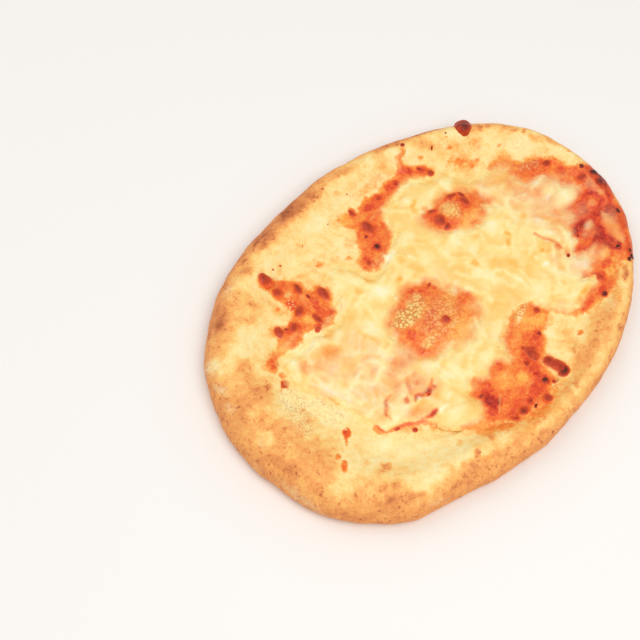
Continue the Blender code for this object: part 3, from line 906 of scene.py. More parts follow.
    def build(self, colours: Colours) -> bpy.types.Object:
        """Shape the dough and dress it.

        Args:
            colours: The painted layers.

        Returns:
            The finished piece.
        """
        profile = RimProfile.read(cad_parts["dough_base"])
        places = [-1.0]
        for count, end in self.net:
            places.extend(np.linspace(places[-1], end, count + 1)[1:])
        bpy.ops.object.select_all(action="DESELECT")
        bpy.ops.mesh.primitive_uv_sphere_add(segments=self.around, ring_count=len(places) - 1)
        made = bpy.context.object
        made.name = made.data.name = "baked_dough"
        unit = coordinates(made.data) * MM
        row = np.round((1.0 - np.arccos(np.clip(unit[:, 2], -1.0, 1.0)) / math.pi)
                       * (len(places) - 1)).astype(int)
        ring = np.array(places)[row]
        bearing = np.degrees(np.arctan2(unit[:, 1], unit[:, 0]))
        last = float(len(profile.radii) - 1)
        radius, height = profile.at(np.clip(ring, 0.0, last), bearing)
        radius = radius * np.clip(1.0 + ring, 0.0, 1.0) * np.clip(last + 1.0 - ring, 0.0, 1.0)
        height = np.where(ring < 0.0, 0.0, height)
        x = radius * np.cos(np.radians(bearing))
        y = radius * np.sin(np.radians(bearing))
        height = np.where(ring > last, self.floor_height, height)
        for bubble in self.BUBBLES:
            lift = bubble.strength * soft_step(bubble.inward(x, y)) ** 0.8
            height = height + np.where(ring >= last, lift, 0.0)
        points = np.stack([x, y, height], axis=1)
        move_points(made.data, points)

        crest = np.full_like(ring, float(profile.CREST))
        crest_radius, crest_height = profile.at(crest, bearing)
        drop = np.hypot(crest_radius - radius, crest_height - height)
        unrolled = np.where(ring < profile.CREST, crest_radius + drop, radius)
        sheet = self.sheet
        away_x, away_y = np.cos(np.radians(bearing)), np.sin(np.radians(bearing))
        level = np.where(ring < profile.CREST, crest_height, height)
        far_x, far_y = sheet.seen(unrolled * away_x, unrolled * away_y, level)
        near_x, near_y = sheet.seen(x, y, height)
        heading = math.radians(Studio.heading)
        near = soft_step(0.5 - 1.5 * (away_x * math.cos(heading) + away_y * math.sin(heading)))
        mark_x, mark_y = far_x + near * (near_x - far_x), far_y + near * (near_y - far_y)
        relief = sheet.read(self.relief(), mark_x, mark_y)
        stand = np.clip(height / 4.0, 0.0, 1.0) * np.where(ring > last, 0.3, 1.0)
        points += normals(made.data) * (relief * stand)[:, None]
        points[:, 2] = np.maximum(points[:, 2], 0.0)
        move_points(made.data, points)
        seen = {layer: sheet.read(values, mark_x, mark_y) for layer, values in colours.items()}
        side = soft_step((profile.CREST - ring) / 3.5)
        seen[Layer.TOAST_AND_SHADE] += 0.85 * side * (self.SIDE_TOAST - seen[Layer.TOAST_AND_SHADE]).clip(0.0)
        dress(made.data, seen)
        made.data.shade_smooth()
        made.data.materials.append(PizzaFinish("baked_dough", 0.0, 0.08).material())
        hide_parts("dough_base")
        return made


# ---------------------------------------------------------------- sauce and cheese
# Height of the flat hidden underside of sauce and cheese.
UNDERSIDE = 7.5


def draped(sheet: Sheet, name: str, height: np.ndarray, keep: np.ndarray,
           colours: Colours) -> bpy.types.Object:
    """Make a closed piece of a layer of heights, where keep says so, and dress it.

    Args:
        sheet: The sheet that the layers are laid on.
        name: The piece's name.
        height: Height of the piece's top, in millimetres.
        keep: Where there is any of it.
        colours: The painted layers.

    Returns:
        The piece.
    """
    bpy.ops.object.select_all(action="DESELECT")
    bpy.ops.mesh.primitive_grid_add(x_subdivisions=sheet.columns - 1,
                                    y_subdivisions=sheet.rows - 1, size=2.0)
    made = bpy.context.object
    made.name = made.data.name = name
    unit = coordinates(made.data) * MM
    column = np.round((unit[:, 0] + 1.0) * 0.5 * (sheet.columns - 1)).astype(int)
    row = np.round((unit[:, 1] + 1.0) * 0.5 * (sheet.rows - 1)).astype(int)
    points = np.stack([sheet.x[row, column], sheet.y[row, column], height[row, column]], axis=1)
    move_points(made.data, points)
    select_points(made.data, ~keep[row, column])
    bpy.ops.object.mode_set(mode="EDIT")
    bpy.ops.mesh.select_mode(type="VERT")
    bpy.ops.mesh.delete(type="VERT")
    bpy.ops.mesh.select_all(action="DESELECT")
    bpy.ops.mesh.select_non_manifold(extend=False, use_wire=False, use_boundary=True,
                                     use_multi_face=False, use_non_contiguous=False,
                                     use_verts=False)
    bpy.ops.mesh.extrude_region_move(TRANSFORM_OT_translate={"value": (0.0, 0.0, -MM)})
    level = (1.0, 1.0, 0.0)
    bpy.ops.transform.resize(value=level, center_override=(0.0, 0.0, UNDERSIDE * MM))
    bpy.ops.mesh.select_mode(type="EDGE")
    bpy.ops.mesh.fill()
    bpy.ops.mesh.select_all(action="SELECT")
    bpy.ops.mesh.normals_make_consistent(inside=False)
    bpy.ops.object.mode_set(mode="OBJECT")
    made.data.shade_smooth()
    mark_x, mark_y = sheet.seen(*coordinates(made.data).T)
    dress(made.data, {layer: sheet.read(values, mark_x, mark_y)
                      for layer, values in colours.items()})
    return made


# Where the cheese has flowed to, and the bare tops of the two bubbles within it.
CHEESE = Patch((
    (-97, 20), (-98, 27), (-95, 33), (-91, 39), (-86, 41.5), (-80, 40), (-76, 37), (-70, 36),
    (-63, 38), (-58, 36), (-53, 33.5), (-47, 33), (-43, 36), (-40, 40), (-35, 42), (-32, 46),
    (-31, 52), (-28, 58), (-22, 60), (-15, 57), (-11, 50), (-10, 42), (-9, 36), (-4, 35.5),
    (4, 37), (10, 40), (17, 41), (23, 45), (25, 51), (28, 57), (33, 61), (42, 62), (52, 62.5),
    (60, 63), (65, 60), (68, 54), (74, 51), (80, 53), (84, 49), (82, 42), (86, 36), (92, 31),
    (99, 30), (105, 27), (107, 20), (107, 12), (108, 4), (114, 2), (120, 0), (122, -6),
    (121, -12), (126, -17), (126, -23), (118, -26), (108, -26.5), (106, -33), (98, -36),
    (93, -41), (87, -45), (82, -46), (88, -53), (86, -58), (80, -61), (73, -60), (77, -64),
    (77, -68.5), (68, -70), (58, -70.5), (50, -71.5), (45, -69), (41, -61), (39, -52),
    (37, -46), (31, -43.5), (23, -43.5), (15, -47), (8, -50), (3, -54), (1, -60), (-4, -62),
    (-7, -56), (-12, -53.5), (-19, -57.5), (-25, -54.5), (-27, -51), (-31, -53), (-35, -57),
    (-34, -63), (-38, -68), (-44, -71), (-51, -67), (-57, -63), (-61, -58.5), (-64, -52),
    (-66, -48), (-71, -43), (-77, -39), (-84, -35), (-89, -31), (-90, -24), (-89.5, -15),
    (-89, -5), (-90, 2), (-92, 8), (-94, 14)))
CENTRE_ISLAND = Patch((
    (-32, 2), (-28, 7.5), (-21, 10.5), (-15, 12), (-10, 12.5), (-5, 15), (-1, 14.5), (3, 12),
    (8, 9), (11, 4), (12, -2), (14, -7), (16, -11), (18, -15), (18, -20), (13, -26), (6, -29.5),
    (-2, -31), (-10, -30.5), (-17, -28), (-24, -25), (-31, -22), (-35, -17), (-35, -10), (-33, -4)))
FAR_ISLAND = Patch((
    (44, 37), (48, 39), (54, 38.5), (60, 39), (67, 38), (73, 34), (77, 29), (80, 22), (82, 15),
    (80, 12), (72, 12), (63, 11), (58, 12), (55, 16), (50, 18), (45.5, 21), (43, 27), (42, 33)))


@dataclass
class TomatoSauce:
    """The sauce: a thin uneven layer with pulp, thicker in its red patches."""

    sheet: Sheet
    thickness: float = 1.0
    taper: float = 2.4
    # How far the sauce ends inside the cheese's edge where it shows nowhere beyond it.
    margin: float = 3.0
    # How far it runs on past its outline, sinking into the dough, and how steeply.
    lip: float = 1.5
    lip_slope: float = 0.6

    # Left arm with the patch above it, the far band, the near patch, and the right end.
    PATCHES = (
        Patch(((-98, 44), (-95, 47.5), (-90, 48), (-84, 47.5), (-79, 50.5), (-75, 51), (-70, 53.5),
               (-64, 54), (-60, 56), (-59.5, 62), (-59.5, 70), (-58.5, 77), (-58.5, 82), (-55, 85.5),
               (-50.5, 84), (-48, 79), (-45, 75), (-43.5, 71), (-40, 69.5), (-39, 65), (-41, 60),
               (-40, 58), (-36, 58), (-33, 54), (-31.5, 49), (-33, 45), (-37, 42.5), (-40, 40),
               (-40, 36), (-44, 34), (-50, 32), (-56, 34), (-60, 38), (-66, 41), (-70, 37.5),
               (-74, 38), (-80, 40), (-88, 42), (-92.5, 39), (-95, 37), (-96, 41))),
        Patch(((-8, 37), (-10, 43), (-8, 49), (-2, 52), (4, 58), (9, 63), (7, 66), (7, 76),
               (10, 79), (15, 75), (18, 73), (18.5, 76), (21, 77.5), (22, 72), (27, 74), (35, 74),
               (41, 71), (48, 73), (55, 71), (62, 71.5), (65, 74.5), (67, 78), (73, 77.5),
               (76, 80), (78, 78), (76, 75.5), (71, 74), (69, 71), (71, 67), (76, 62), (79, 57),
               (77, 53), (70, 52), (62, 60), (50, 58), (38, 58), (28, 54), (24, 44), (14, 38),
               (4, 35), (-4, 34.5))),
        Patch(((-3, -48), (14, -45), (21, -42.5), (31, -42), (38, -44.5), (40.5, -51), (39.5, -60),
               (31, -62.5), (26, -64.5), (23, -69), (17, -73), (10, -76), (6, -84), (5, -88.5),
               (-1, -89), (-5, -91), (-8, -94), (-13, -91), (-19, -88.5), (-27, -88), (-34, -86.5),
               (-38, -80), (-42, -75.5), (-50, -71), (-57, -66), (-55, -62), (-46, -64), (-36, -54),
               (-27, -49), (-15, -50))),
        Patch(((100, 32), (108, 31), (115, 25), (117, 19), (124, 15), (130, 9.5), (134, 4),
               (135, -4), (137, -9.5), (142, -13), (144, -20), (143, -27), (139, -36), (131, -48),
               (122, -61), (113, -70), (106, -76), (99, -77), (95, -72), (88, -74), (81, -79),
               (72, -80), (62, -78.5), (52, -76.5), (46, -72), (42, -66), (39, -58), (40, -46),
               (70, -30), (96, 0), (98, 20))))
    # Thin orange stains of oil and sauce on the dough.
    STAIN = marks(
        (((-66, -52), (-60, -62), (-48, -75), (-36, -85)), 10, 0.3), (0, -92, 110, 10, 0.2),
        (-44, -77, 36, 18, 0.6, -32), (-36, -84, 28, 12, 0.5, -20), (-16, -91, 60, 20, 0.75, 2, 1),
        (30, -60, 28, 15, 0.5, -8, 0.8), (42, 76, 48, 14, 0.42, -6), (28, 80, 12, 8, 0.25),
        (58, 79, 22, 10, 0.3), (64, 84, 5, 8, 0.25, 0, 0.8), (12, 72, 14, 15, 0.6, 0, 0.6),
        (0, 60, 24, 16, 0.3, 40), (-14, 60, 20, 16, 0.28), (-28, 66, 26, 18, 0.3),
        (79, 66, 5, 4, 0.7, 0, 0.45), (39, -81, 6, 5, 0.7, 0, 0.45), (94, 44, 28, 30, 0.62, 10, 1),
        (111, 47, 22, 22, 0.45, 0, 1), (100, 56, 18, 8, 0.36, -20), (112, 25, 22, 24, 0.6, -40),
        (132, -4, 14, 30, 0.35, 10), (124, 15, 22, 9, 0.45, -40), (-76, 55, 15, 11, 0.55, 40, 0.7),
        (-62, 60, 10, 14, 0.35), (-50, 88, 16, 10, 0.2), (-99.6, -16.6, 9, 7, 1, 40, 0.45),
        (-103.5, -19.6, 6, 3, 0.6, 35, 0.45), (-87, -29.5, 6.4, 10.4, 0.95, 8, 0.6),
        (-115.5, -27.5, 9.4, 5, 1, 36, 0.45), (-113.5, -21.5, 5, 4, 0.7, 0, 0.45),
        (-89, 8, 9, 34, 0.5, 6), (-89, -1, 2, 6, 0.6, 10, 0.45),
        (-94.5, 33.5, 4.4, 7, 0.9, 5, 0.45), (-98, 29, 6.4, 7.4, 1, -20, 0.45),
        (-102.5, 28.5, 7, 3.4, 0.55, 15, 0.8), (-95, 40, 6, 8, 0.6, 0, 0.45),
        (-63.5, 63.5, 5.6, 3.2, 0.9, 5, 0.45), (-37, 67, 6.4, 5.4, 0.75), (-23, 64.5, 7, 8, 0.75),
        (-23, 70, 8, 4, 0.35), (-8, 54, 6.4, 4, 0.7, 0, 0.7), (-9, 48, 5, 4, 0.35),
        (97, 56.5, 6, 4.4, 0.65, 0, 0.7), (93, 46, 5.4, 9, 0.7, -20, 0.8),
        (96, 38, 7, 9, 0.7, 0, 0.8), (101, 38, 3, 8, 0.65, 0, 0.8), (88, 50, 12, 4.4, 0.6, 0, 0.8),
        (119, 34, 6.4, 4.4, 0.65, 0, 0.8), (143.5, -1, 3.6, 3.6, 0.6, 0, 0.45),
        (92, -72, 26, 8, 0.6, 16, 0.7), (76, -81, 15, 6, 0.45, 10, 0.8),
        (74, -84, 5, 5, 0.3, 0, 0.45), (26, -83, 7, 6, 0.3, 0, 0.8), (-9, -99, 24, 6, 0.25),
        (-61, -84.5, 8, 3, 0.5, 0, 0.45), (-66, -52, 9, 11, 0.4, -40, 0.8),
        (-74, -44, 19, 8, 0.55, -42, 0.8), (-79, -38, 9, 5, 0.5, -25, 0.8),
        (24, -69, 4, 3, 0.7, 0, 0.45), (84, -76, 16, 7, 0.5, 10, 0.8),
        (-60, -57, 5, 12, 0.4, 30, 0.8),
        (((-86, -33.5), (-80, -36), (-74, -39), (-70, -42.5), (-66, -46.5),
          (-62, -52)), 4.6, 0.8, 0.6), (((-58, -63), (-50, -69), (-42, -74)), 5.4, 0.65, 0.8),
        soft=0.9)
    DEEP_BASE = 0.43
    DEEP = marks(
        (-31, -66, 13, 20, 0.45, 25, 0.8), (-57, 38, 7, 6, 0.45), (-54, 36.5, 11, 5, 0.25),
        (-90, 44, 12, 5, 0.2), (-93.5, 41, 5, 5, 0.4), (-98, 29, 5.6, 6.4, 0.75, -20),
        (-99.6, -16.6, 7, 5, 0.4, 40), (-85.4, -29, 2.4, 8, 0.6, 8), (-68, 50, 12, 6, 0.35, 20),
        (-56, 59, 8, 7, 0.25), (-46, 49, 5, 17, 0.35, -25), (-40, 63, 5, 12, 0.25, -20),
        (-43, 38, 7, 6, 0.3), (-35, 51, 8, 10, 0.3, -20), (-54, 79, 10, 10, 0.25),
        (-65, 46, 5, 9, 0.3, -30), (-53, 68, 10, 5, 0.15), (-50, 42, 6, 9, 0.25),
        (-2, 44, 7, 9, 0.3), (9, 46, 10, 10, 0.2), (17, 58, 10, 14, 0.3), (24, 52, 4, 10, 0.3, -20),
        (28, 67.5, 8, 6, 0.3), (38, 68, 5, 7, 0.45), (33, 67, 22, 8, 0.15), (48, 67, 8, 8, 0.22),
        (54, 66, 7, 6, 0.35), (62, 69.5, 11, 5, 0.35), (66, 66, 6, 9, 0.35), (73, 60, 8, 8, 0.35),
        (19.5, 73, 4, 7, 0.4), (72, 76, 10, 3.4, 0.25, 15), (1, 38, 12, 4, 0.1, 10),
        (12, 53, 8, 8, 0.15), (-31, -68, 12, 14, 0.55, 20, 0.7), (-30, -61.5, 7, 7, 0.4),
        (-25, -60, 7, 12, 0.3), (-35, -71, 8, 8, 0.4, 30), (-24, -79, 14, 10, 0.3, 0, 0.7),
        (-31, -82, 8, 9, 0.3), (-8, -82, 19, 11, 0.4, 0, 0.7), (-15, -84, 9, 7, 0.3),
        (0, -80, 9, 13, 0.4), (2, -74, 9, 8, 0.35, 40), (-9, -90, 8, 7, 0.4), (3, -87, 6, 5, 0.3),
        (8, -66, 17, 13, 0.35, 0, 0.7), (22, -62, 9, 6, 0.4), (17, -64, 10, 9, 0.2),
        (-40, -73, 8, 6, 0.15), (-9, -58, 4, 7, 0.3), (-27, -50, 6, 5, 0.2),
        (-20, -84, 14, 8, 0.25), (112, -46, 56, 60, 0.38, -30, 0.7), (103, -57, 13, 21, 0.5, 12),
        (104.5, -64, 6, 6, 0.5), (108, -50, 6, 11, 0.4, -20), (100, -39, 15, 7, 0.55, -10),
        (124, -47, 11, 12, 0.5, -20), (117, -42, 8, 6, 0.4),
        (((92, -41), (98, -37.5), (106, -38), (113, -42)), 5, 0.35, 1),
        (((84, -46.5), (89, -48), (91, -51.5), (98, -51), (105, -50), (108, -46),
          (113, -42)), 5.4, 0.4, 1),
        (((71, -55), (67.5, -60), (73, -62), (79, -65), (80, -70)), 4.4, 0.45, 1),
        (80, -69, 9, 10, 0.4), (72, -74, 8, 6, 0.35), (58, -73, 15, 5, 0.2), (97, -46, 9, 9, 0.2),
        (90, -66, 12, 8, 0.25),
        (((117, -29), (124, -28), (128, -32), (127, -38), (120, -41)), 4.6, 0.4, 1),
        (115, -32, 13, 11, 0.3, 0, 0.7), (128, -6, 11, 10, 0.35, 0, 0.7), (121, -10, 7, 5, 0.25),
        (119, 11, 20, 8, 0.2, -22, 0.7), (124, 8.5, 9, 4, 0.3, -15), (129, 3, 8, 7, 0.3),
        (134, -22, 15, 24, 0.4, 10, 0.7), (139, -30, 14, 40, 0.6, -20), (128, -30, 9, 9, 0.3),
        (112, -69, 13, 12, 0.35, 45), (105, -72, 9, 5, 0.3, 30), (130, -41, 5, 12, 0.3, -40),
        (-2.5, 12, 6, 5, 0.3), (1, 6.5, 5, 5, 0.3), (-4, 2.5, 6, 4, 0.3), (-26, -6, 10, 7, 0.3),
        (-31, -17.5, 7, 6, 0.35), (-10, -7, 28, 6, 0.3, 8, 0.7), (-16, 7, 5, 5, 0.2),
        (9, -15, 12, 8, 0.1), (-5.5, -15, 8, 8, 0.35), (-14, -12, 16, 5, 0.2, 0, 0.8),
        (48, 28, 10, 18, 0.3, 0, 0.7), (51.5, 36, 6, 5, 0.35), (66, 34, 8, 5, 0.3),
        (69, 24, 8, 9, 0.35), (75, 22, 7, 10, 0.15), (61, 13, 6, 4, 0.2),
        (-77, -26, 5, 7, 0.3, -30), (-71, -22, 8, 4, 0.3, 20), (-53, -34, 16, 5, 0.5, -10),
        (-49, -37, 6, 4, 0.5), (-54, -25, 4, 9, 0.3, -35), (-45, -37, 4, 4, 0.4),
        (-61.5, -30, 5, 4, 0.4), (-58.5, -47, 7, 4, 0.4),
        (((-83, -34.5), (-77, -37), (-72, -40), (-66, -44.5), (-60, -46.5),
          (-55, -46)), 5, 0.45, 0.9), (81, -35, 4, 12, 0.3), (-38, -15, 10, 6, 0.15), soft=0.45)
    ORANGE = marks(
        (-56, 45, 12, 9, 0.75, 0, 0.7), (-50, 66, 15, 13, 0.25), (-82, 45, 20, 7, 0.3),
        (-62, 50, 7, 7, 0.2, 0, 0.45), (-46, 55, 7, 12, 0.25, 0, 0.45), (-60, 42, 20, 6, 0.2),
        (12, 71, 11, 15, 0.6, 0, 0.7), (-3, 51, 14, 8, 0.6, 40), (44, 69, 7, 6, 0.4, 0, 0.45),
        (20, 66, 12, 7, 0.3, 0, 0.45), (5, 42, 14, 6, 0.25, 15), (-15, -65, 21, 16, 0.6, 0, 0.7),
        (-8, -72, 15, 9, 0.7, 0, 0.7), (29, -57, 22, 11, 0.7, -10, 0.7),
        (24, -50, 30, 14, 0.55, 10), (9, -56, 13, 9, 0.35), (-46, -71, 18, 6, 0.5, -30),
        (86, -70, 17, 7, 0.65, 15, 0.7), (96, -61, 12, 8, 0.4, 20), (94, -46, 8, 5, 0.45, 0, 0.7),
        (121, -35, 9, 8, 0.6, 0, 0.6), (111, 21, 14, 18, 0.2), (62, -77, 18, 5, 0.35, 10),
        (97, -68, 14, 7, 0.5, 20, 0.7), (130, 2, 8, 10, 0.15), (113, -55, 14, 22, 0.6, -22),
        (-18, 3, 30, 15, 0.7, -5, 0.6), (-8, -10, 56, 48, 0.2, 0, 0.9),
        (-24, -17, 18, 9, 0.5, 0, 0.7), (-4, -25, 38, 15, 0.55, 5), (8, -8, 16, 16, 0.3),
        (-7, 5, 11, 9, 0.4), (10, -20, 14, 12, 0.35), (59, 28, 13, 18, 0.6, 0, 0.7),
        (62, 17, 28, 12, 0.5), (76, 20, 8, 12, 0.3), soft=0.8)
    GRAIN = marks(
        (-18, 3, 28, 15, 1, -8), (-6, 5, 16, 12, 0.6), (-6, -12, 44, 34, 0.45, 0, 0.7),
        (-23, -17, 16, 7, 0.7), (13, -7, 10, 9, 0.5), (60, 28, 14, 17, 0.6), (75, 15, 10, 8, 0.5),
        (28, -46, 24, 6, 0.5, 12), (-51, 65, 6, 6, 0.6), (-50, 36, 16, 5, 0.4),
        (-10, 39, 12, 6, 0.3), (2, 39.5, 16, 4, 0.35, 10), (119, 11, 20, 9, 0.4, -22),
        (-97, 3, 13, 42, 0.6, 6, 0.4), (-102, 19, 15, 22, 0.5, 0, 0.5),
        (-108, 14, 18, 28, 0.4, 0, 0.8), (-64, 58, 8, 5, 0.5), (64, -79, 10, 4, 0.35, 20),
        (128, 25, 16, 24, 0.2, 0, 0.8), (-112, 1, 8, 7, 0.5), soft=0.45)

    def colour(self, colours: Colours) -> np.ndarray:
        """Paint sauce, its stains and its redness on the sheet's layers.

        Args:
            colours: The layers to paint.

        Returns:
            Distance inside the sauce's outline at each place.
        """
        sheet = self.sheet
        below = sheet.depth((CHEESE,), 1.4, 113) - self.margin
        depth = np.maximum(sheet.depth(self.PATCHES, 1.1, 83), below)
        depth = depth + 0.5 * sheet.rough(4.0, 81, 3)
        inside = soft_step((depth + 1.8) / 4.6)
        stain = sheet.paint(self.STAIN, 0.6, 71)
        deep = self.DEEP_BASE + 0.10 * sheet.rough(9.0, 95, 3)
        deep = deep * (1.0 - sheet.paint(self.ORANGE, 1.2, 97))
        redder = sheet.paint(self.DEEP, 0.8, 91)
        deep = deep + (1.0 - deep) * redder
        deep = deep - 0.2 * (1.0 - soft_step(depth / 4.0))
        colours[Layer.SAUCE] = np.maximum(inside, stain ** 0.8)
        outside = 0.05 + 0.36 * stain ** 1.5 + 0.5 * redder
        colours[Layer.DEEP] = inside * deep + (1.0 - inside) * outside
        colours[Layer.GRAIN] = sheet.paint(self.GRAIN, 1.5, 103)
        return depth

    def build(self, ground: np.ndarray, depth: np.ndarray,
              colours: Colours) -> tuple[bpy.types.Object, np.ndarray]:
        """Lay the sauce on the dough.

        Args:
            ground: Height of the dough at each place of the sheet.
            depth: Distance inside the sauce's outline at each place.
            colours: The painted layers.

        Returns:
            The piece, and the height of dough and sauce together.
        """
        sheet = self.sheet
        body = self.thickness * (1.0 - np.exp(-np.clip(depth, 0.0, None) / self.taper))
        body += np.minimum(depth, 0.0) * self.lip_slope
        lumps = np.clip(sheet.rough(3.4, 85, 3), -0.2, 1.0) * 0.5
        body += (lumps + 0.5 * np.clip(colours[Layer.DEEP], 0.0, 1.0)) * soft_step(depth / 3.0)
        top = sheet.blur(ground, 0.8) + body
        keep = depth > -self.lip
        made = draped(sheet, "tomato_sauce", top, keep, colours)
        made.data.materials.append(PizzaFinish("tomato_sauce", 0.22, 0.06).material())
        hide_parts("tomato_sauce")
        return made, np.where(keep, np.maximum(top, ground), ground)


@dataclass
class MeltedMozzarella:
    """The cheese: a soft melted blanket of fused shreds with oily pools."""

    sheet: Sheet
    thickness: float = 1.9
    shred_count: int = 560
    light_share: float = 0.25
    # Over what width, in millimetres, the cheese gets thinner across its outline.
    edge: float = 7.0
    fade: float = 3.4
    island_fade: float = 4.6
    # From how far inside its outline it sinks into the sauce, how far it runs on past it,
    # and how steeply.
    dip: float = 0.6
    lip: float = 1.2
    lip_slope: float = 0.4
    shred_lengths: tuple[float, float] = (12.0, 30.0)
    shred_widths: tuple[float, float] = (3.6, 8.0)

    # Thin places, where the sauce shines through.
    THIN = marks(
        (-89, 8, 8, 30, 0.35, 8, 0.9), (-86, 4, 8, 12, 0.16, 0, 0.9),
        (-82, 27, 14, 18, 0.36, 0, 0.9), (-77, 22, 9, 9, 0.2), (-66, 22, 20, 15, 0.4, 0, 0.9),
        (-83, 27, 10, 10, 0.3, 0, 0.9), (-45, -12, 12, 12, 0.3, 0, 0.9),
        (-79.5, 29, 4, 3, 0.3, 0, 0.45), (-58, 30, 16, 8, 0.1, 10), (-64, 36.5, 26, 6, 0.3),
        (-56, 4, 12, 7, 0.2), (-64, 3.4, 7, 2, 0.3, -10), (-60, -5, 18, 7, 0.4, 15, 0.9),
        (-54, -12, 12, 10, 0.3), (-54.5, -12, 2.4, 3.6, 0.3, 0, 0.45),
        (-42, -12, 30, 20, 0.5, 0, 0.9), (-37, -5, 12, 9, 0.26),
        (-47.5, -9.5, 3, 2.6, 0.3, 0, 0.45), (-36, -16, 12, 9, 0.35), (-33, -8, 9, 18, 0.3),
        (-70, 4, 16, 7, 0.12), (-86, -14, 6, 13, 0.16), (-87.4, -29.5, 6.6, 10, 0.95, 8, 0.3),
        (-81, -35.5, 9, 4, 0.6, -15, 0.45), (-60, -22, 24, 12, 0.3, 20, 0.9),
        (-50, -29, 24, 20, 0.45, 20, 0.9), (-46, -37, 22, 12, 0.4, 10, 0.9),
        (-64, -39, 28, 12, 0.45, -30, 0.9),
        (((-84, -34), (-78, -36.5), (-72, -40), (-66, -44.5), (-60, -46.5),
          (-55, -46)), 6, 0.85, 0.9), (-59, -46.5, 10, 4, 0.75, 0, 0.45),
        (-64, -46, 11, 8, 0.5, 0, 0.7), (-54, -43, 22, 8, 0.18), (-26, -26, 18, 10, 0.2),
        (-38, 36, 14, 8, 0.16), (-11, 37, 9, 12, 0.3, 0, 0.7), (25, -44, 28, 9, 0.4, 8),
        (8, -48, 18, 8, 0.25, 15), (-3, -57, 13, 13, 0.4), (-9, -60, 4, 9, 0.4, 0, 0.45),
        (-28, -54, 12, 9, 0.4), (-41, -68, 12, 6, 0.3), (41, 34, 9, 26, 0.26),
        (86, 27, 14, 22, 0.26), (87, 40, 14, 22, 0.5), (95, 35, 18, 14, 0.5), (78, 49, 12, 9, 0.3),
        (84, 14, 9, 20, 0.2, 0, 0.9), (103, 13, 12, 36, 0.34, 0, 0.9),
        (109, 18, 13, 22, 0.35, 0, 0.9), (96, 20, 24, 26, 0.2, 0, 0.9),
        (106, -4, 22, 16, 0.4, 0, 0.9), (94, -26, 20, 18, 0.25, 0, 0.9), (112, 3, 13, 9, 0.3, 20),
        (119, -6, 14, 13, 0.5), (98, -21, 18, 11, 0.3), (98, -31, 16, 12, 0.4, 0, 0.9),
        (107, -13, 14, 8, 0.12), (122, -23, 12, 7, 0.4), (71, -42, 12, 12, 0.25),
        (77, -53, 24, 14, 0.35), (86, -48, 14, 7, 0.35, 10), (48, -62, 12, 15, 0.18, 20),
        (33, -28, 16, 8, 0.12), (30, -38, 18, 8, 0.14), (62, 14, 12, 7, 0.2), (80, 20, 9, 18, 0.2),
        (57, -67, 18, 5, 0.2),
        (((79, -20), (79.6, -26), (81.5, -31), (82.5, -36), (81, -40)), 4, 0.7, 1),
        (80.5, -37, 6, 8, 0.6, 0, 0.7), (81, -43, 8, 7, 0.4),
        (((-77.5, -30), (-76, -26.5), (-73, -24), (-70, -21.5), (-65.5, -20.8)), 5, 0.7, 1),
        (((-59.5, -34.5), (-55.5, -32.3), (-53, -35), (-50, -37), (-47, -35.3),
          (-41, -32.6)), 5, 0.8, 1), (-50, -37, 7, 4, 0.6, 0, 0.45),
        (-54.5, -32.5, 4, 3.4, 0.5, 0, 0.45), (((-57, -30), (-54, -25), (-50.5, -21.5)), 6, 0.5, 1),
        (-61.5, -30, 6, 4, 0.7, 40, 0.45), (-46, -23.5, 6, 4, 0.45, 0, 0.7),
        (-45, -36.5, 5, 4, 0.6, 0, 0.45), (-49, -27.5, 3.4, 2.4, 0.5, 40, 0.45), soft=0.8)
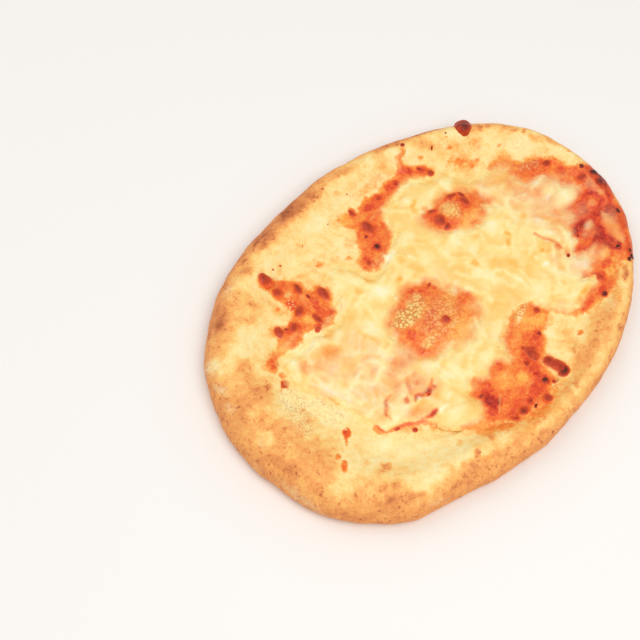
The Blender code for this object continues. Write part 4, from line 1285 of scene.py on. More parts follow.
    # Wisps and lumps of cheese on the sauce.
    WISPS = marks(
        (122, -8, 28, 16, 0.22, -30, 1), (133, -24, 16, 24, 0.2, 0, 1),
        (112, -33, 26, 14, 0.2, 0, 1), (90, -58, 34, 18, 0.3, 0, 1),
        (121, -50, 20, 26, 0.16, -30, 1), (103, -46, 14, 14, 0.16, 0, 1),
        (108, 22, 18, 20, 0.3, 0, 0.9), (104, 14, 9, 30, 0.3, 5, 0.9),
        (111, 0, 20, 12, 0.3, -15, 0.9), (113, -19, 23, 16, 0.75, -6), (110, -9, 18, 12, 0.55),
        (132, -27, 12, 16, 0.15, 0, 0.9), (98, -31, 20, 11, 0.2, 15, 0.9),
        (88, -42.5, 14, 7, 0.7, 0, 0.6), (106, -42.5, 12, 7, 0.45, 0, 0.7),
        (80, -54, 30, 15, 0.36, 4), (93, -54, 14, 6, 0.35, 10), (95, -61, 14, 9, 0.4, 20),
        (75, -46, 15, 10, 0.4), (69, -53, 12, 15, 0.4, 0, 0.9), (131, -34, 5, 9, 0.4),
        (98, -45, 8, 6, 0.25), (121, -35, 8, 7, 0.2), (112, -69, 10, 5, 0.2, 45),
        (-3, -56, 11, 16, 0.5, 0, 0.7), (-30, -54, 12, 8, 0.3), (-17, -53, 20, 6, 0.3, 0, 0.9),
        (-52, 65.5, 6, 5, 0.45, 0, 0.7), (-64, 58, 7, 4.4, 0.35, 0, 0.45), (-80, 44, 24, 9, 0.35),
        (-70, 45, 14, 7, 0.2, -20), (-49, 36.5, 16, 5, 0.3), (-48, 57, 5, 4, 0.2, 0, 0.45),
        (59, 29, 11, 15, 0.4), (62, 15, 30, 8, 0.3, 0, 0.9), (46, 22, 8, 10, 0.25, 0, 0.9),
        (-24, -16, 14, 6, 0.3), (-4, -21, 9, 5, 0.3, 0, 0.7), (-4, 6.5, 6, 5, 0.35, 0, 0.7),
        (-10, 8, 6, 5, 0.35, 0, 0.7), (13, -7, 9, 8, 0.5, 0, 0.7), (12, -1, 8, 16, 0.4),
        (-4, -29, 42, 11, 0.45, 4, 0.9), (13, -23, 14, 14, 0.4, 0, 0.9),
        (-20, -25, 20, 9, 0.35, -20, 0.9), (-32, 3, 8, 12, 0.4, 0, 0.9),
        (-35, -12, 10, 22, 0.3, 0, 0.9), (76, 14, 8, 5, 0.4, 30, 0.7), (10, -55, 14, 5, 0.15, 10),
        (-13, -63, 3.4, 2.4, 0.6, 0, 0.45),
        (((109, -65), (112, -57), (116, -50), (119, -44)), 12, 0.42, 1),
        (((61, -67), (70, -66.5), (78, -66)), 7, 0.75),
        (((-34, -74.5), (-30, -72), (-25, -69)), 2.2, 0.4, 0.9),
        (((8.6, -73), (8.6, -80), (8.2, -88)), 5, 0.6),
        (((-14, -80), (-9, -77), (-5, -78)), 3, 0.3, 1),
        (((-60, 52), (-50, 54), (-42, 50)), 3, 0.15, 1),
        (((22, 61), (30, 61), (44, 62)), 4, 0.2, 1), soft=0.8)
    # Yellow to orange pools of oil.
    POOL = marks(
        (-84, 27, 12, 14, 0.3), (-64, 23, 18, 14, 0.55), (-61, 20, 9, 9, 0.4),
        (-80, 30, 8, 12, 0.3), (-43, 13, 6, 13, 0.55, 10, 0.7), (-42, 9, 5, 5, 0.4, 0, 0.45),
        (-22, 35, 7, 7, 0.5, 0, 0.7), (-29, 33, 6, 6, 0.3), (-28, 40, 15, 13, 0.25),
        (-12, 35, 9, 10, 0.5), (0, 21, 7, 6, 0.7), (-3, 23, 7, 3, 0.4),
        (48, 48, 13, 5, 0.8, 20, 0.7), (44, 44, 7, 8, 0.7, 0, 0.7), (38, 38, 14, 22, 0.35, 0, 0.9),
        (38, -5.5, 7, 8, 0.85, 0, 0.6), (38, -10, 4, 7, 0.4), (63, -12.5, 9, 5, 0.85, 30, 0.6),
        (68, -8, 4, 7, 0.7, -10, 0.7), (53, -23, 9, 13, 0.4, 20), (60, -30, 16, 14, 0.25, 0, 0.9),
        (85, -8, 7, 8, 0.6, 20), (53, 5, 9, 7, 0.35), (75, 3, 9, 7, 0.35),
        (72, -31, 4, 4, 0.8, 0, 0.45), (73.5, -34, 6, 4, 0.75, 0, 0.7),
        (97, 18, 20, 24, 0.4, 0, 0.9), (92, -4, 14, 12, 0.25, 0, 0.9), (-51, 31, 13, 9, 0.25),
        (-58, 30, 12, 10, 0.3), (-76, 4, 14, 8, 0.2, 20), (-66, -1, 13, 9, 0.3, -20),
        (-71, -14, 5, 12, 0.35), (-60, 8, 16, 8, 0.2, 20), (-60, -38, 16, 9, 0.45),
        (-48, -42, 9, 5, 0.4, 20), (70, -46, 10, 12, 0.35), (64, -66, 8, 5, 0.85, 0, 0.7),
        (12, 17, 16, 10, 0.25), (13, 29, 13, 7, 0.35, 40), (28, 28, 20, 14, 0.2, 0, 0.9),
        (25, 8, 14, 7, 0.2, 20), (22, -20, 14, 20, 0.25, 0, 0.9), (92, -22, 12, 14, 0.3),
        (54, -51, 7, 6, 0.3), (60, -46, 10, 8, 0.25), (-14, -38, 20, 10, 0.15, 0, 0.9),
        (-2, -42, 24, 5, 0.25, 8), (-58, -53, 20, 10, 0.1, 20), (-46, -60, 22, 10, 0.15, 0, 0.9),
        (112, -54, 12, 18, 0.6, -20), (0, 47, 30, 12, 0.2, 0, 0.9), (-88, -2, 5, 18, 0.3),
        (10, -24, 12, 8, 0.3, 0, 0.9), (70, -66, 20, 8, 0.4, 0, 0.9),
        (112, -19, 24, 16, 0.35, 0, 0.9), (96, -28, 22, 18, 0.4, 0, 0.9),
        (104, 16, 26, 34, 0.35, 0, 0.9), (86, -42, 16, 8, 0.3, 0, 0.9), soft=0.8)
    # Pale creamy places, and painted highlights: the small bright spots at (65, -38), (-70.5, -27),
    # (-74, -31), (105, -12), (107.5, -11) and (80, -29).
    CREAM_AND_HIGHLIGHTS = marks(
        (((-88, 18), (-84, 6), (-82, -8)), 5, 0.6), (((-72, -2), (-62, 4), (-52, 2)), 4, 0.6),
        (((-78, -20), (-68, -10), (-60, -8)), 4, 0.6), (((-62, 14), (-54, 10), (-46, 16)), 4, 0.6),
        (118, -28, 52, 70, 0.45), (86, -56, 40, 24, 0.4, 0, 0.9), (-72, 14, 18, 10, 0.65),
        (-85, 33, 12, 13, 0.45), (-91, 26, 7, 12, 0.5), (-66, 35, 13, 6, 0.4, 20),
        (-50, 18, 20, 7, 0.55, 35), (-38, 14, 14, 28, 0.55, 10), (-47, 4, 9, 24, 0.5),
        (-76, -8, 5.4, 22, 0.6), (-68, -6, 5, 18, 0.35, 25), (-82, -18, 8, 16, 0.4),
        (-64, -16, 9, 9, 0.4), (-88, 8, 8, 24, 0.35, 8), (-56, -10, 14, 16, 0.2, 0, 0.9),
        (-14, 24, 24, 18, 0.6, -30), (-19, 42, 8, 19, 0.55, 10), (-22, 55, 15, 8, 0.45, 20),
        (8, 36, 26, 7, 0.7, 10, 0.7), (24, 37, 22, 12, 0.4), (42, 12, 32, 14, 0.5, -10),
        (46, 2, 15, 11, 0.5), (66, 3, 15, 12, 0.6), (22, 18, 16, 16, 0.3),
        (45, 53, 14, 9, 0.5, -30), (57, 46, 18, 9, 0.45), (74, 43, 13, 13, 0.4),
        (34, -12, 8, 14, 0.35), (14, -8, 7, 6, 0.8, 30), (18, -5, 9, 4, 0.5, 10),
        # painted highlight: the spot at (65, -38) on this line
        (65, -38, 7, 5, 0.9, 0, 0.7), (44, -32, 14, 10, 0.45), (45, -48, 15, 20, 0.4),
        # painted highlights: the spots at (-70.5, -27) and (-74, -31)
        (56, -62, 16, 12, 0.4), (-70.5, -27, 6, 7, 0.9, 20, 0.7), (-74, -31, 5, 5.6, 0.9, 0, 0.7),
        (-66, -32, 13, 8, 0.45), (-36, -27, 14, 14, 0.7), (-32, -30, 5, 6, 0.8, 0, 0.7),
        (-33, -38, 5, 17, 0.6, 0, 0.7), (-28, -42, 10, 22, 0.45), (-52, -48.6, 14, 4, 0.9, -8, 0.7),
        (-44, -46, 8, 6, 0.6), (-50, -56, 26, 12, 0.55, -8), (-56, -34, 5, 2.4, 0.9, -50, 0.45),
        (-53, -38, 6, 2.4, 0.8, -50, 0.45), (8, -42, 28, 9, 0.5, 12), (-12, -48, 34, 9, 0.4),
        # painted highlights: the spots at (105, -12) and (107.5, -11)
        (105, -12, 4, 3.4, 1, 0, 0.45), (107.5, -11, 4, 4, 0.9, 0, 0.45),
        (112, -19, 22, 13, 0.4, 4, 0.9), (98, -5, 18, 14, 0.3), (88, -18, 8, 14, 0.5),
        # painted highlight: the spot at (80, -29) on this line
        (86, -31, 10, 18, 0.45, 10), (80, -29, 2.4, 3.4, 0.9, 0, 0.45), (88, -42, 14, 7, 0.6),
        (-12, 15, 3.4, 2.4, 0.6, 0, 0.45), (105, -42, 12, 6, 0.6), (80, -55, 26, 14, 0.5, 4),
        (112, 0, 16, 10, 0.5), (98, -30, 16, 9, 0.15), soft=0.8)
    BROWN = marks(
        (79.5, -45, 2.4, 2.4, 0.8), (8, 6.2, 4, 2.2, 0.55, 10), (0, -49.5, 1.4, 1.4, 0.3),
        (139, -28, 13, 34, 0.34, -18), (142, -27, 6, 14, 0.5, -10), (138, -31, 5, 9, 0.5, -20),
        (124, -55, 10, 26, 0.3, -40), (108, -71, 16, 7, 0.35, 38), (104.5, -64, 4, 3.4, 0.5),
        (-91, 40, 3, 5, 0.2), soft=0.45)
    # Where the cheese is so thin between its shreds that the sauce tints it.
    VEIL = marks(
        (-66, 0, 72, 96, 0.6), (-50, -20, 50, 50, 0.4, 0, 0.9), (102, -10, 56, 104, 0.85),
        (78, -48, 44, 40, 0.7, 0, 0.9), (-4, -36, 60, 20, 0.3, 0, 1), (8, 0, 44, 44, 0.4, 0, 0.8),
        soft=0.6)
    RIDGES = marks(
        (((-33, 50), (-24, 58), (-14, 55), (-11, 45), (-16, 35), (-12, 30.5), (-6, 34)), 6, 0.8),
        (((-55, 17), (-48, 22), (-42, 25)), 5, 0.6), (((10, 28), (20, 33)), 4, 0.5),
        (((-33, -30), (-33, -50)), 4, 0.4), (((-38, 12), (-37, 0)), 4, 0.4),
        (((-36, -38), (-10, -40), (14, -36)), 7, 0.5), (-72, 13, 22, 11, 0.6),
        (((-34, -46), (-8, -47), (20, -42)), 6, 0.4), (((88, -10), (90, -30)), 6, 0.4),
        (((22, 22), (45, 24)), 5, 0.4), (((30, -2), (52, 4)), 5, 0.4),
        (((44, -30), (46, -50)), 5, 0.4), (((60, -30), (56, -55)), 6, 0.4), soft=1)
    RICH_BASE = 0.38

    def shreds(self, depth: np.ndarray) -> np.ndarray:
        """Grated shreds that have half melted into one another: how thick each one is, 0 to 1."""
        sheet = self.sheet
        rng = np.random.default_rng(7)
        strokes = []
        while len(strokes) < self.shred_count:
            x, y = rng.uniform(-100.0, 128.0), rng.uniform(-75.0, 66.0)
            if sheet.read(depth, x, y) < 2.0:
                continue
            turn = rng.uniform(0.0, math.pi)
            bend = rng.uniform(-0.5, 0.5)
            half = 0.5 * rng.uniform(*self.shred_lengths)
            points = tuple((x + half * s * math.cos(turn + bend * s),
                            y + half * s * math.sin(turn + bend * s))
                           for s in (-1.0, -0.33, 0.33, 1.0))
            width = rng.uniform(*self.shred_widths)
            strokes.append(Stroke(points, width, -0.85, 0.9))
            strokes.append(Stroke(points, width, rng.uniform(0.0, 1.0), 0.9))
            if rng.uniform() < self.light_share:
                strokes.append(Stroke(points, 0.6 * width, 0.8, 0.9))
        return sheet.blur(sheet.paint(strokes, 1.2, 131), 0.6)

    def colour(self, colours: Colours) -> tuple[np.ndarray, np.ndarray]:
        """Paint how much cheese there is and how rich in oil on the sheet's layers, with small
        painted highlights among the pale creamy places.

        Args:
            colours: The layers to paint.

        Returns:
            Distance inside the cheese's outline, and the relief of its shreds.
        """
        sheet = self.sheet
        wander = 0.9 * sheet.rough(6.0, 121, 3)
        outer = sheet.depth((CHEESE,), 1.4, 113) + wander
        bare = sheet.depth((CENTRE_ISLAND, FAR_ISLAND), 1.4, 111) + wander
        depth = np.minimum(outer, -bare)
        fused = self.shreds(depth)
        melt = soft_step((outer + self.fade) / self.edge + 0.3 * (fused - 0.5))
        melt *= soft_step((self.island_fade - bare) / (2.0 * self.island_fade)
                          + 0.3 * (fused - 0.5))
        melt *= 1.0 - sheet.paint(self.THIN, 0.8, 151)
        veil = sheet.paint(self.VEIL, 2.0, 165)
        gaps = (0.55 - 0.5 * fused + 0.25 * sheet.rough(9.0, 167, 3)).clip(0.0, 0.65)
        melt *= 1.0 - (0.1 + 0.8 * veil) * gaps
        melt = melt + (1.0 - melt) * sheet.paint(self.WISPS, 0.8, 155)
        rich = self.RICH_BASE + 0.12 * sheet.rough(15.0, 159, 3) - 0.28 * (fused - 0.5)
        rich *= 1.0 - 0.5 * veil
        rich = rich + (1.0 - rich) * 0.75 * sheet.paint(self.POOL, 0.9, 157)
        # The pale creamy places and the painted highlights among them lower the richness here.
        rich = rich * (1.0 - sheet.paint(self.CREAM_AND_HIGHLIGHTS, 1.0, 161))
        colours[Layer.MELT] = melt
        colours[Layer.RICH] = rich
        colours[Layer.BROWN] = sheet.paint(self.BROWN, 0.4, 163)
        return depth, fused

    def build(self, ground: np.ndarray, depth: np.ndarray, fused: np.ndarray,
              colours: Colours) -> tuple[bpy.types.Object, np.ndarray]:
        """Lay the cheese on the sauce.

        Args:
            ground: Height of dough and sauce at each place of the sheet.
            depth: Distance inside the cheese's outline at each place.
            fused: Relief of the shreds at each place.
            colours: The painted layers.

        Returns:
            The piece, and the height of all layers together.
        """
        sheet = self.sheet
        melt = sheet.blur(np.clip(colours[Layer.MELT], 0.0, 1.0), 0.8)
        body = self.thickness * (0.35 + 0.65 * melt) * soft_step((depth + 1.0) / self.edge)
        body += np.minimum(depth - self.dip, 0.0) * self.lip_slope
        ridges = sheet.paint(self.RIDGES, 1.0, 135)
        relief = 0.55 * fused + 0.8 * ridges
        relief = relief + 0.25 * sheet.noise(9.0, 141) + 0.45 * sheet.noise(17.0, 143)
        top = ground + (sheet.blur(ground, 1.4) - ground) * soft_step(depth / 5.0)
        top = top + body + relief * soft_step(depth / 5.0)
        keep = depth > -self.lip
        made = draped(sheet, "melted_mozzarella", top, keep, colours)
        made.data.materials.append(PizzaFinish("melted_mozzarella", 0.12, 0.1, 0.4).material())
        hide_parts("melted_mozzarella")
        return made, np.where(keep, np.maximum(top, ground), ground)


# ---------------------------------------------------------------- bits that lie on top
@dataclass(frozen=True)
class Lump:
    """A rounded bit: its middle, length, width, turn in degrees, height and darkness."""

    x: float
    y: float
    length: float
    width: float
    turn: float
    height: float
    shade: float = 0.2

    @classmethod
    def read(cls, node: bpy.types.Object) -> "Lump":
        """Read a packed bit's place and size from its corners."""
        corners = np.unique(np.round(coordinates(node.data), 2), axis=0)
        middle = 0.5 * (corners[:, :2].min(axis=0) + corners[:, :2].max(axis=0))
        flat = corners[:, :2] - middle
        axes = np.linalg.eigh(flat.T @ flat)[1]
        across, along = np.ptp(flat @ axes, axis=0)
        turn = math.degrees(math.atan2(axes[1, 1], axes[0, 1]))
        height = min(0.6 * np.ptp(corners[:, 2]), 0.3 * across)
        return cls(middle[0], middle[1], along, across, turn, height)

    def dab(self, margin: float, strength: float) -> Dab:
        """A soft spot that reaches round the bit by a margin, a smaller one round a speck."""
        margin = min(margin, 0.35 * self.length)
        return Dab(self.x, self.y, self.length + 2.0 * margin, self.width + 2.0 * margin,
                   strength, self.turn, 0.9)


def lumps(*rows: tuple) -> tuple[Lump, ...]:
    """Bits from rows of x, y, length, width, turn, height and darkness."""
    return tuple(Lump(*row) for row in rows)


@dataclass
class Heap:
    """Bits of one kind, shaped from one ball and joined into one piece."""

    sheet: Sheet
    ground: np.ndarray
    colours: Colours
    finish: PizzaFinish
    fineness: int = 3
    sink: float = 0.5
    overhang: float = 1.6
    knobble: float = 0.14
    # A bit's foot reaches a little beyond the part that shows.
    spill: float = 1.25

    def __post_init__(self) -> None:
        """Model the ball that each bit starts from."""
        bpy.ops.object.select_all(action="DESELECT")
        bpy.ops.mesh.primitive_ico_sphere_add(subdivisions=self.fineness, radius=1.0)
        self.ball = bpy.context.object
        self.ball.data.materials.append(self.finish.material())
        self.unit = coordinates(self.ball.data) * MM
        self.made: list[bpy.types.Object] = []
        self.rng = np.random.default_rng(len(self.finish.name) * 97)

    def knobbly(self) -> tuple[np.ndarray, np.ndarray]:
        """How much wider and higher a bit is in each direction than a plain ball."""
        slants = self.rng.uniform(0.0, 2.0 * math.pi, 6)
        u, v, w = self.unit.T
        bearing = np.arctan2(v, u)
        wide = sum(self.knobble / k * np.sin(k * bearing + slants[k]) for k in (2, 3, 5))
        high = np.sin(3.1 * u + slants[0]) * np.sin(2.7 * v + slants[1])
        high += 0.5 * np.sin(6.3 * u + slants[4]) * np.sin(5.6 * v + 2.0 * w + slants[1])
        return 1.0 + wide, 1.0 + 1.3 * self.knobble * high

    def add(self, place: Callable[[np.ndarray, np.ndarray], tuple[np.ndarray, np.ndarray]],
            height: float, own: dict[Layer, np.ndarray], least: float = 0.0) -> None:
        """Shape one bit.

        Args:
            place: Turns the ball's u and v into x and y.
            height: The bit's height in millimetres.
            own: Layers of its own, laid over those of what it lies on by the crown's cover.
            least: The crown's least cover, at the bit's foot.
        """
        copy = self.ball.copy()
        copy.data = self.ball.data.copy()
        bpy.context.collection.objects.link(copy)
        wide, high = self.knobbly()
        u, v, w = self.unit.T
        x, y = place(u * wide, v * wide)
        middle_x, middle_y = place(np.zeros(1), np.zeros(1))
        lowest = self.sheet.read(self.ground, middle_x, middle_y) - self.overhang
        below = np.maximum(self.sheet.read(self.ground, x, y), lowest)
        mound = 0.06 + 0.94 * np.clip(w, 0.0, 1.0) ** 1.4 * high
        rise = np.where(w > 0.0, mound, 0.06 * (1.0 + w))
        z = np.maximum(below - self.sink + (height + self.sink) * rise, 0.0)
        move_points(copy.data, np.stack([x, y, z], axis=1))
        crown = np.maximum(soft_step(1.25 * np.clip(w, 0.0, 1.0) ** 2), least)
        mark_x, mark_y = self.sheet.seen(x, y, z)
        seen = {layer: self.sheet.read(values, mark_x, mark_y)
                for layer, values in self.colours.items()}
        for layer, values in own.items():
            laid = seen[layer] * (1.0 - crown) + crown * values
            seen[layer] = np.maximum(seen[layer], laid) if layer is Layer.BROWN else laid
        dress(copy.data, seen)
        self.made.append(copy)

    def lump(self, bit: Lump, own: dict[Layer, np.ndarray], least: float = 0.0) -> None:
        """Shape one oval bit."""
        cosine, sine = math.cos(math.radians(bit.turn)), math.sin(math.radians(bit.turn))

        def place(u: np.ndarray, v: np.ndarray) -> tuple[np.ndarray, np.ndarray]:
            """Stretch, turn and move the ball's outline."""
            along = 0.5 * self.spill * bit.length * u
            across = 0.5 * self.spill * bit.width * v
            return bit.x + along * cosine - across * sine, bit.y + along * sine + across * cosine

        self.add(place, bit.height, own, least)

    def strand(self, points: Sequence[tuple[float, float]], width: float, height: float,
               own: dict[Layer, np.ndarray]) -> None:
        """Shape one long bit that follows points."""
        route = np.array(points, float)
        lengths = np.concatenate([[0.0], np.cumsum(np.hypot(*np.diff(route, axis=0).T))])

        def place(u: np.ndarray, v: np.ndarray) -> tuple[np.ndarray, np.ndarray]:
            """Lay the ball out along the route."""
            where = (0.5 + 0.5 * u) * lengths[-1]
            x = np.interp(where, lengths, route[:, 0])
            y = np.interp(where, lengths, route[:, 1])
            near, far = np.clip(where - 1.0, 0.0, None), np.clip(where + 1.0, None, lengths[-1])
            dx = np.interp(far, lengths, route[:, 0]) - np.interp(near, lengths, route[:, 0])
            dy = np.interp(far, lengths, route[:, 1]) - np.interp(near, lengths, route[:, 1])
            size = np.hypot(dx, dy)
            side = 0.5 * width * v
            return x - side * dy / size, y + side * dx / size

        self.add(place, height, own)

    def join(self) -> bpy.types.Object:
        """Join all bits into the finished piece."""
        bpy.data.objects.remove(self.ball)
        bpy.ops.object.select_all(action="DESELECT")
        for bit in self.made:
            bit.select_set(True)
        bpy.context.view_layer.objects.active = self.made[0]
        bpy.ops.object.join()
        made = bpy.context.object
        made.name = made.data.name = self.finish.name
        made.data.shade_smooth()
        return made


def nodes_named(start: str) -> list[str]:
    """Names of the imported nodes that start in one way."""
    return sorted(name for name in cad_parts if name.startswith(start))


@dataclass
class BrownedBits:
    """Browned nubs of cheese and tomato, from coin-small ones down to specks."""

    sheet: Sheet

    SMALL = lumps(
        # x, y, length, width, turn, height, darkness
        (12.5, -76.8, 8.6, 7.4, 20, 2.4, 0.3), (12.6, -87, 9.0, 7.6, 10, 2.4, 0.7),
        (-44, 82.5, 1.6, 1.4, 0, 0.3, 0.0), (-38.5, 81.5, 1.7, 1.4, 0, 0.3, 0.0),
        (3.5, 79, 1.3, 1.1, 0, 0.2, 0.0), (-19, 80.5, 1.1, 1.0, 0, 0.2, 0.0),
        (88.5, 64.5, 2.4, 1.4, 20, 0.4, 0.5), (101, 63.5, 1.8, 1.4, 0, 0.4, 0.5),
        (27.5, 83.5, 1.4, 1.1, 0, 0.2, 0.0), (11.5, 56, 2.4, 2.2, 0, 0.6, 0.4),
        (75.5, 78, 3.6, 3.0, 10, 0.9, 0.5), (73, 62, 3.6, 4.4, 0, 0.8, 0.4),
        (71.5, -76.5, 4.4, 3.6, 0, 0.9, 0.75), (79.5, -45, 2.4, 2.0, 0, 0.5, 0.5),
        (96, -41, 2.4, 1.8, 0, 0.5, 0.7), (-72, -44, 3.4, 3.4, 0, 0.7, 0.4),
        (-16.5, -87.5, 3.4, 1.8, 15, 0.5, 0.9), (3.5, -86.5, 3.4, 2.6, 60, 0.6, 0.35),
        (3, -68, 4.6, 3.6, 30, 0.8, 0.4), (11.5, -65, 5.0, 4.6, 0, 1.0, 0.55),
        (10, -69.5, 6.0, 4.4, 0, 0.9, 0.6), (-31, -60.5, 4.6, 3.0, -20, 0.7, 0.4),
        (-31, -84, 4.0, 3.0, 0, 0.6, 0.25), (24, -62, 4.0, 3.4, 0, 0.7, 0.35),
        (-15.5, -83.5, 3.4, 1.8, 20, 0.5, 0.4), (138.5, -14.5, 3.2, 3.0, 60, 0.7, 0.4),
        (140, -23, 5.4, 5.0, 70, 0.9, 0.5), (132, -19, 6, 6, 0, 0.9, 0.3),
        (136.5, -30, 3.0, 5.6, -25, 1.0, 0.85), (126, -50, 2.4, 4.6, -30, 0.7, 0.5),
        (101, -74.5, 3.4, 2.2, 20, 0.8, 0.9), (104.5, -74.5, 3.6, 2.4, 30, 1.0, 1.0),
        (107, -71.5, 3.0, 1.8, 40, 0.8, 0.7), (104.5, -64, 2.6, 2.2, 0, 0.5, 0.8),
        (48.5, 23, 6.0, 5.0, 90, 0.9, 0.28), (102, -39, 4.0, 2.8, -20, 0.6, 0.4),
        (-57, 38, 4.6, 4.0, 0, 0.6, 0.12), (-69, 52, 3.4, 2.4, -30, 0.6, 0.4),
        (-43.5, 56, 2.0, 5.0, -15, 0.5, 0.4), (-2, 43.5, 3.0, 5.0, -30, 0.7, 0.15),
        (-78, -36, 3.6, 2.0, -20, 0.5, 0.2), (-50, -37, 2.6, 1.6, 0, 0.3, 0.4),
        (54, 66, 2.0, 3.4, 0, 0.5, 0.3), (67, 34, 6.4, 3.4, 10, 0.9, 0.25),
        (72.5, 30, 3.0, 7.0, -10, 1.0, 0.35), (70, 25.5, 4.0, 5.0, -30, 0.9, 0.3),
        (38.5, 67.5, 2.4, 4.4, 10, 0.5, 0.25), (80, -68, 5.0, 6.0, 0, 0.5, 0.1),
        (-9, -91, 4.4, 3.2, 60, 0.7, 0.35))
    # The darkest parts of the bits.
    CORES = marks(
        (9.5, 46, 7, 6.4, 0.95, 0, 0.8), (0, -82.5, 6, 5.6, 0.95, 0, 0.8),
        (71.5, -76.5, 5, 4.6, 0.85, 0, 0.8), (11, -88, 6, 5, 0.7), (-24, -84, 7.5, 6, 0.72),
        (9, -61, 4, 5, 0.6), (8, -70, 8, 6, 0.6), (12.5, -65, 5, 5, 0.6),
        (116.5, 59, 6, 8, 0.6, -30), (128, 3.5, 4, 4, 0.5), (104, -62, 5, 8, 0.4),
        (-73.5, 53.5, 5, 4, 0.5, 60), (72.5, 29, 3, 6, 0.4, -10), (19.5, 75, 3, 3, 0.4),
        (75, 55, 3, 3, 0.5), (-31, -61, 4, 3, 0.4), (48, 30, 4, 5, 0.4), soft=0.9)
    HALO = 2.6
    # Bits farther out than this share of the pizza's half size lie on the rim, without a halo.
    RIM = 0.93
    # How brown a bit is at its foot, and how brown one on the rim is.
    FOOT = 0.16
    RIM_FOOT = 0.4

    def on_rim(self, bit: Lump) -> bool:
        """Whether a bit lies on the rim."""
        return math.hypot(bit.x / PIZZA_HALF_LENGTH, bit.y / PIZZA_HALF_WIDTH) >= self.RIM

    def bits(self) -> list[Lump]:
        """All the bits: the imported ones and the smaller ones."""
        packed = [Lump.read(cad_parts[name]) for name in nodes_named("browned_nub")]
        return packed + list(self.SMALL)

    def colour(self, colours: Colours) -> None:
        """Paint a soft orange halo round each bit on the sheet's layers."""
        bits = [bit for bit in self.bits() if not self.on_rim(bit)]
        halo = self.sheet.paint([bit.dab(self.HALO, 0.8) for bit in bits], 0.6, 181)
        foot = self.sheet.paint([bit.dab(1.0, 0.5) for bit in bits], 0.4, 183)
        cores = self.sheet.paint(self.CORES, 0.4, 185)
        colours[Layer.BROWN] = np.maximum(colours[Layer.BROWN], cores)
        colours[Layer.MELT] = colours[Layer.MELT] * (1.0 - foot)
        colours[Layer.DEEP] = np.maximum(colours[Layer.DEEP], 0.5 * halo)
        colours[Layer.SAUCE] = np.maximum(colours[Layer.SAUCE], halo)

    def build(self, ground: np.ndarray, colours: Colours) -> bpy.types.Object:
        """Shape the bits and dress them.

        Args:
            ground: Height of what they lie on.
            colours: The painted layers.

        Returns:
            The finished piece.
        """
        heap = Heap(self.sheet, ground, colours,
                    PizzaFinish("browned_bits", 0.06, 0.0, 0.35), knobble=0.1)
        middle = heap.unit[:, 2].clip(0.0) ** 2
        for bit in self.bits():
            on_rim = self.on_rim(bit)
            foot = self.RIM_FOOT if on_rim else self.FOOT
            heap.lump(bit, {Layer.BROWN: foot + (0.3 + 0.6 * bit.shade) * middle, Layer.MELT: 0.0},
                      1.0 if on_rim else 0.0)
        made = heap.join()
        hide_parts(*nodes_named("browned_nub"))
        return made


@dataclass
class CheeseShreds:
    """Separate lumps and shreds of cheese that lie on the sauce."""

    sheet: Sheet
    # How much of their height shows.
    lump_share: float = 0.5
    strand_share: float = 0.7

    STRANDS = (
        # route, width, height
        (((-34, -74.5), (-30, -72), (-25, -69)), 1.7, 0.8),
        (((-56, -34), (-53, -37), (-51, -39.5)), 2.0, 0.9),
        (((62, -67), (68, -67), (77, -66)), 6.0, 0.9),
        (((109, -64), (112, -58), (117, -50), (119, -44)), 8.0, 1.2),
        (((108, -46), (113, -44), (119, -43)), 4.0, 0.8),
        (((88, -55), (94, -53), (100, -54)), 4.4, 0.8),
        (((89, -58), (94, -60), (100, -60)), 8.0, 1.0),
        (((8.8, -74), (9.0, -80), (8.6, -86)), 3.4, 0.8),
        (((-3, -50), (-3, -57), (-5, -61)), 6.0, 0.8),
        (((-14, -80), (-9, -77), (-5, -78)), 2.4, 0.7),
        (((84, -43), (89, -42), (93, -42)), 5.0, 0.9),
        (((101, -43), (106, -42), (110, -43)), 5.4, 0.9),
        (((129, -31), (132, -34), (132, -38)), 4.0, 0.8))

    def build(self, ground: np.ndarray, colours: Colours) -> bpy.types.Object:
        """Shape the shreds and dress them.

        Args:
            ground: Height of what they lie on.
            colours: The painted layers.

        Returns:
            The finished piece.
        """
        heap = Heap(self.sheet, ground, colours, PizzaFinish("cheese_shreds", 0.12, 0.0, 0.4),
                    knobble=0.1)
        names = nodes_named("cheese_lump")
        for name in names:
            bit = Lump.read(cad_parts[name])
            heap.lump(replace(bit, height=self.lump_share * bit.height), {})
        for route, width, height in self.STRANDS:
            heap.strand(route, width, self.strand_share * height, {})
        made = heap.join()
        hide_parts(*names)
        return made


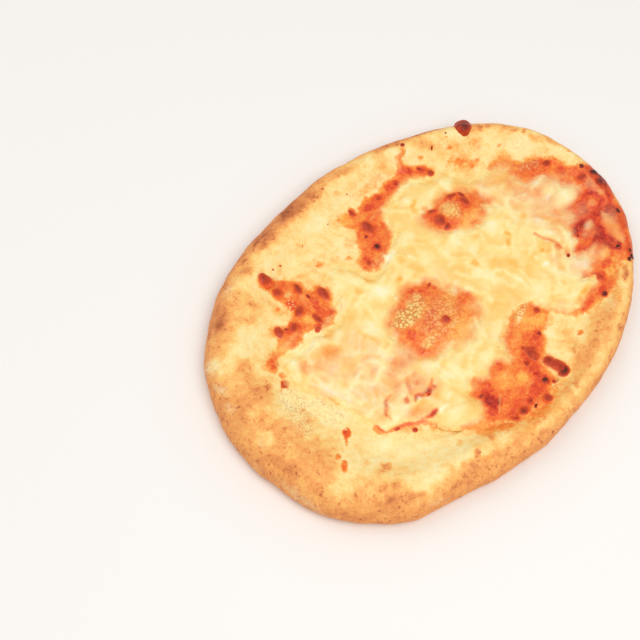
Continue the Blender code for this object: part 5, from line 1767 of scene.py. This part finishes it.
@dataclass
class Semolina:
    """Grains of semolina and dry crumbs, thick in patches and thin around them."""

    sheet: Sheet
    count: int = 1800
    sizes: tuple[float, float] = (0.7, 1.5)
    flatness: float = 0.24

    PATCHES = marks(
        (-96, 3, 12, 42, 1, 4, 0.5), (-102, 20, 14, 18, 0.8, 0, 0.8), (-110, 10, 22, 40, 0.14),
        (127, 25, 14, 20, 0.1), (28, -46, 22, 5, 0.4, 15, 0.8), (-56, 60, 18, 22, 0.05),
        (-5, 38, 10, 5, 0.2), (-112, 1, 7, 6, 0.5), soft=1)

    def build(self, ground: np.ndarray, colours: Colours) -> bpy.types.Object:
        """Strew the grains and dress them.

        Args:
            ground: Height of what they lie on.
            colours: The painted layers.

        Returns:
            The finished piece.
        """
        sheet = self.sheet
        heap = Heap(sheet, ground, colours, PizzaFinish("semolina_grains", 0.0, 0.0, 0.1),
                    fineness=1, sink=0.2)
        rng = np.random.default_rng(5)
        chance = sheet.paint(self.PATCHES, 1.5, 171)
        share = np.cumsum(chance.ravel()) / chance.sum()
        for index in np.searchsorted(share, rng.uniform(0.0, 1.0, self.count)):
            x = sheet.x.flat[index] + rng.uniform(-0.3, 0.3)
            y = sheet.y.flat[index] + rng.uniform(-0.3, 0.3)
            size = rng.uniform(*self.sizes)
            heap.lump(Lump(x, y, size, size * rng.uniform(0.6, 1.0), rng.uniform(0.0, 180.0),
                           self.flatness * size),
                      {Layer.BROWN: 0.0, Layer.MELT: 1.0, Layer.RICH: 0.12})
        made = heap.join()
        made.data.shade_flat()
        return made


# ---------------------------------------------------------------- studio
@dataclass(frozen=True)
class Lamp:
    """A soft square lamp that faces the pizza.

    Its bearing and elevation are in degrees, its distance and size in metres and its
    power in watts.
    """

    name: str
    bearing: float
    elevation: float
    distance: float
    size: float
    power: float
    colour: tuple[float, float, float]

    def hang(self) -> None:
        """Hang the lamp."""
        data = bpy.data.lights.new(self.name, "AREA")
        data.shape = "SQUARE"
        data.size = self.size
        data.energy = self.power
        data.color = self.colour
        made = bpy.data.objects.new(self.name, data)
        bearing, elevation = math.radians(self.bearing), math.radians(self.elevation)
        level = math.cos(elevation)
        place = self.distance * Vector((level * math.cos(bearing), level * math.sin(bearing),
                                        math.sin(elevation)))
        made.matrix_world = (Matrix.Translation(place)
                             @ (-place).to_track_quat("-Z", "Y").to_matrix().to_4x4())
        bpy.context.collection.objects.link(made)


@dataclass(frozen=True)
class Studio:
    """Camera, pale floor and soft light; the camera is placed as in the photograph."""

    heading: float = 34.19
    elevation: float = 59.39
    roll: float = 5.35
    aim: tuple[float, float] = (-46.65, 44.14)
    distance: float = 883.8
    view_angle: float = 24.0
    floor_size: float = 12.0
    sky_colour: tuple[float, float, float, float] = (1.0, 0.985, 0.965, 1.0)
    sky_strength: float = 0.58

    LAMPS = (Lamp("key", heading + 215.0, 64.0, 1.6, 1.1, 11.5, (1.0, 0.97, 0.93)),
             Lamp("fill", heading + 70.0, 50.0, 1.8, 1.2, 5.0, (1.0, 0.98, 0.96)))

    def camera(self) -> None:
        """Set the camera at the photograph's viewing angle."""
        heading, elevation = math.radians(self.heading), math.radians(self.elevation)
        level = math.cos(elevation)
        look = Vector((level * math.cos(heading), level * math.sin(heading), -math.sin(elevation)))
        data = bpy.data.cameras.new("camera")
        data.sensor_fit = "HORIZONTAL"
        data.angle = math.radians(self.view_angle)
        made = bpy.data.objects.new("camera", data)
        place = Vector((*self.aim, 0.0)) - look * self.distance
        turned = (look.to_track_quat("-Z", "Y").to_matrix()
                  @ Matrix.Rotation(math.radians(self.roll), 3, "Z"))
        made.matrix_world = Matrix.Translation(place * MM) @ turned.to_4x4()
        bpy.context.collection.objects.link(made)
        bpy.context.scene.camera = made

    def build(self) -> None:
        """Set up camera, floor, world and lamps."""
        self.camera()
        bpy.ops.object.select_all(action="DESELECT")
        bpy.ops.mesh.primitive_plane_add(size=self.floor_size)
        floor = bpy.context.object
        floor.name = "floor"
        floor.data.materials.append(FloorFinish().material())
        world = bpy.data.worlds.new("studio")
        world.use_nodes = True
        background = world.node_tree.nodes["Background"]
        background.inputs["Color"].default_value = self.sky_colour
        background.inputs["Strength"].default_value = self.sky_strength
        bpy.context.scene.world = world
        bpy.context.scene.view_settings.view_transform = "Standard"
        for lamp in self.LAMPS:
            lamp.hang()


# ---------------------------------------------------------------- the pizza
def main() -> None:
    """Build the pizza layer by layer, then the studio."""
    logging.basicConfig(level=logging.INFO, format="%(name)s: %(message)s")
    Studio().build()
    sheet = Sheet()
    dough, sauce, cheese = DoughBase(sheet), TomatoSauce(sheet), MeltedMozzarella(sheet)
    bits = BrownedBits(sheet)
    colours: Colours = {}
    dough.colour(colours)
    cheese_depth, fused = cheese.colour(colours)
    sauce_depth = sauce.colour(colours)
    bits.colour(colours)

    pieces = [dough.build(colours)]
    ground = look_down(surface_tree(pieces[0].data), sheet.x, sheet.y, 0.0)
    within = sheet.depth((RimProfile.read(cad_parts["dough_base"]).crest(),))
    piece, ground = sauce.build(ground, np.minimum(sauce_depth, within), colours)
    pieces.append(piece)
    piece, ground = cheese.build(ground, cheese_depth, fused, colours)
    pieces.append(piece)
    pieces.append(CheeseShreds(sheet).build(ground, colours))
    pieces.append(Semolina(sheet).build(ground, colours))
    pieces.append(bits.build(ground, colours))
    for piece in pieces:
        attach(piece, BODY)
        LOG.info("%s: %d faces", piece.name, len(piece.data.polygons))


if __name__ == "__main__":
    main()
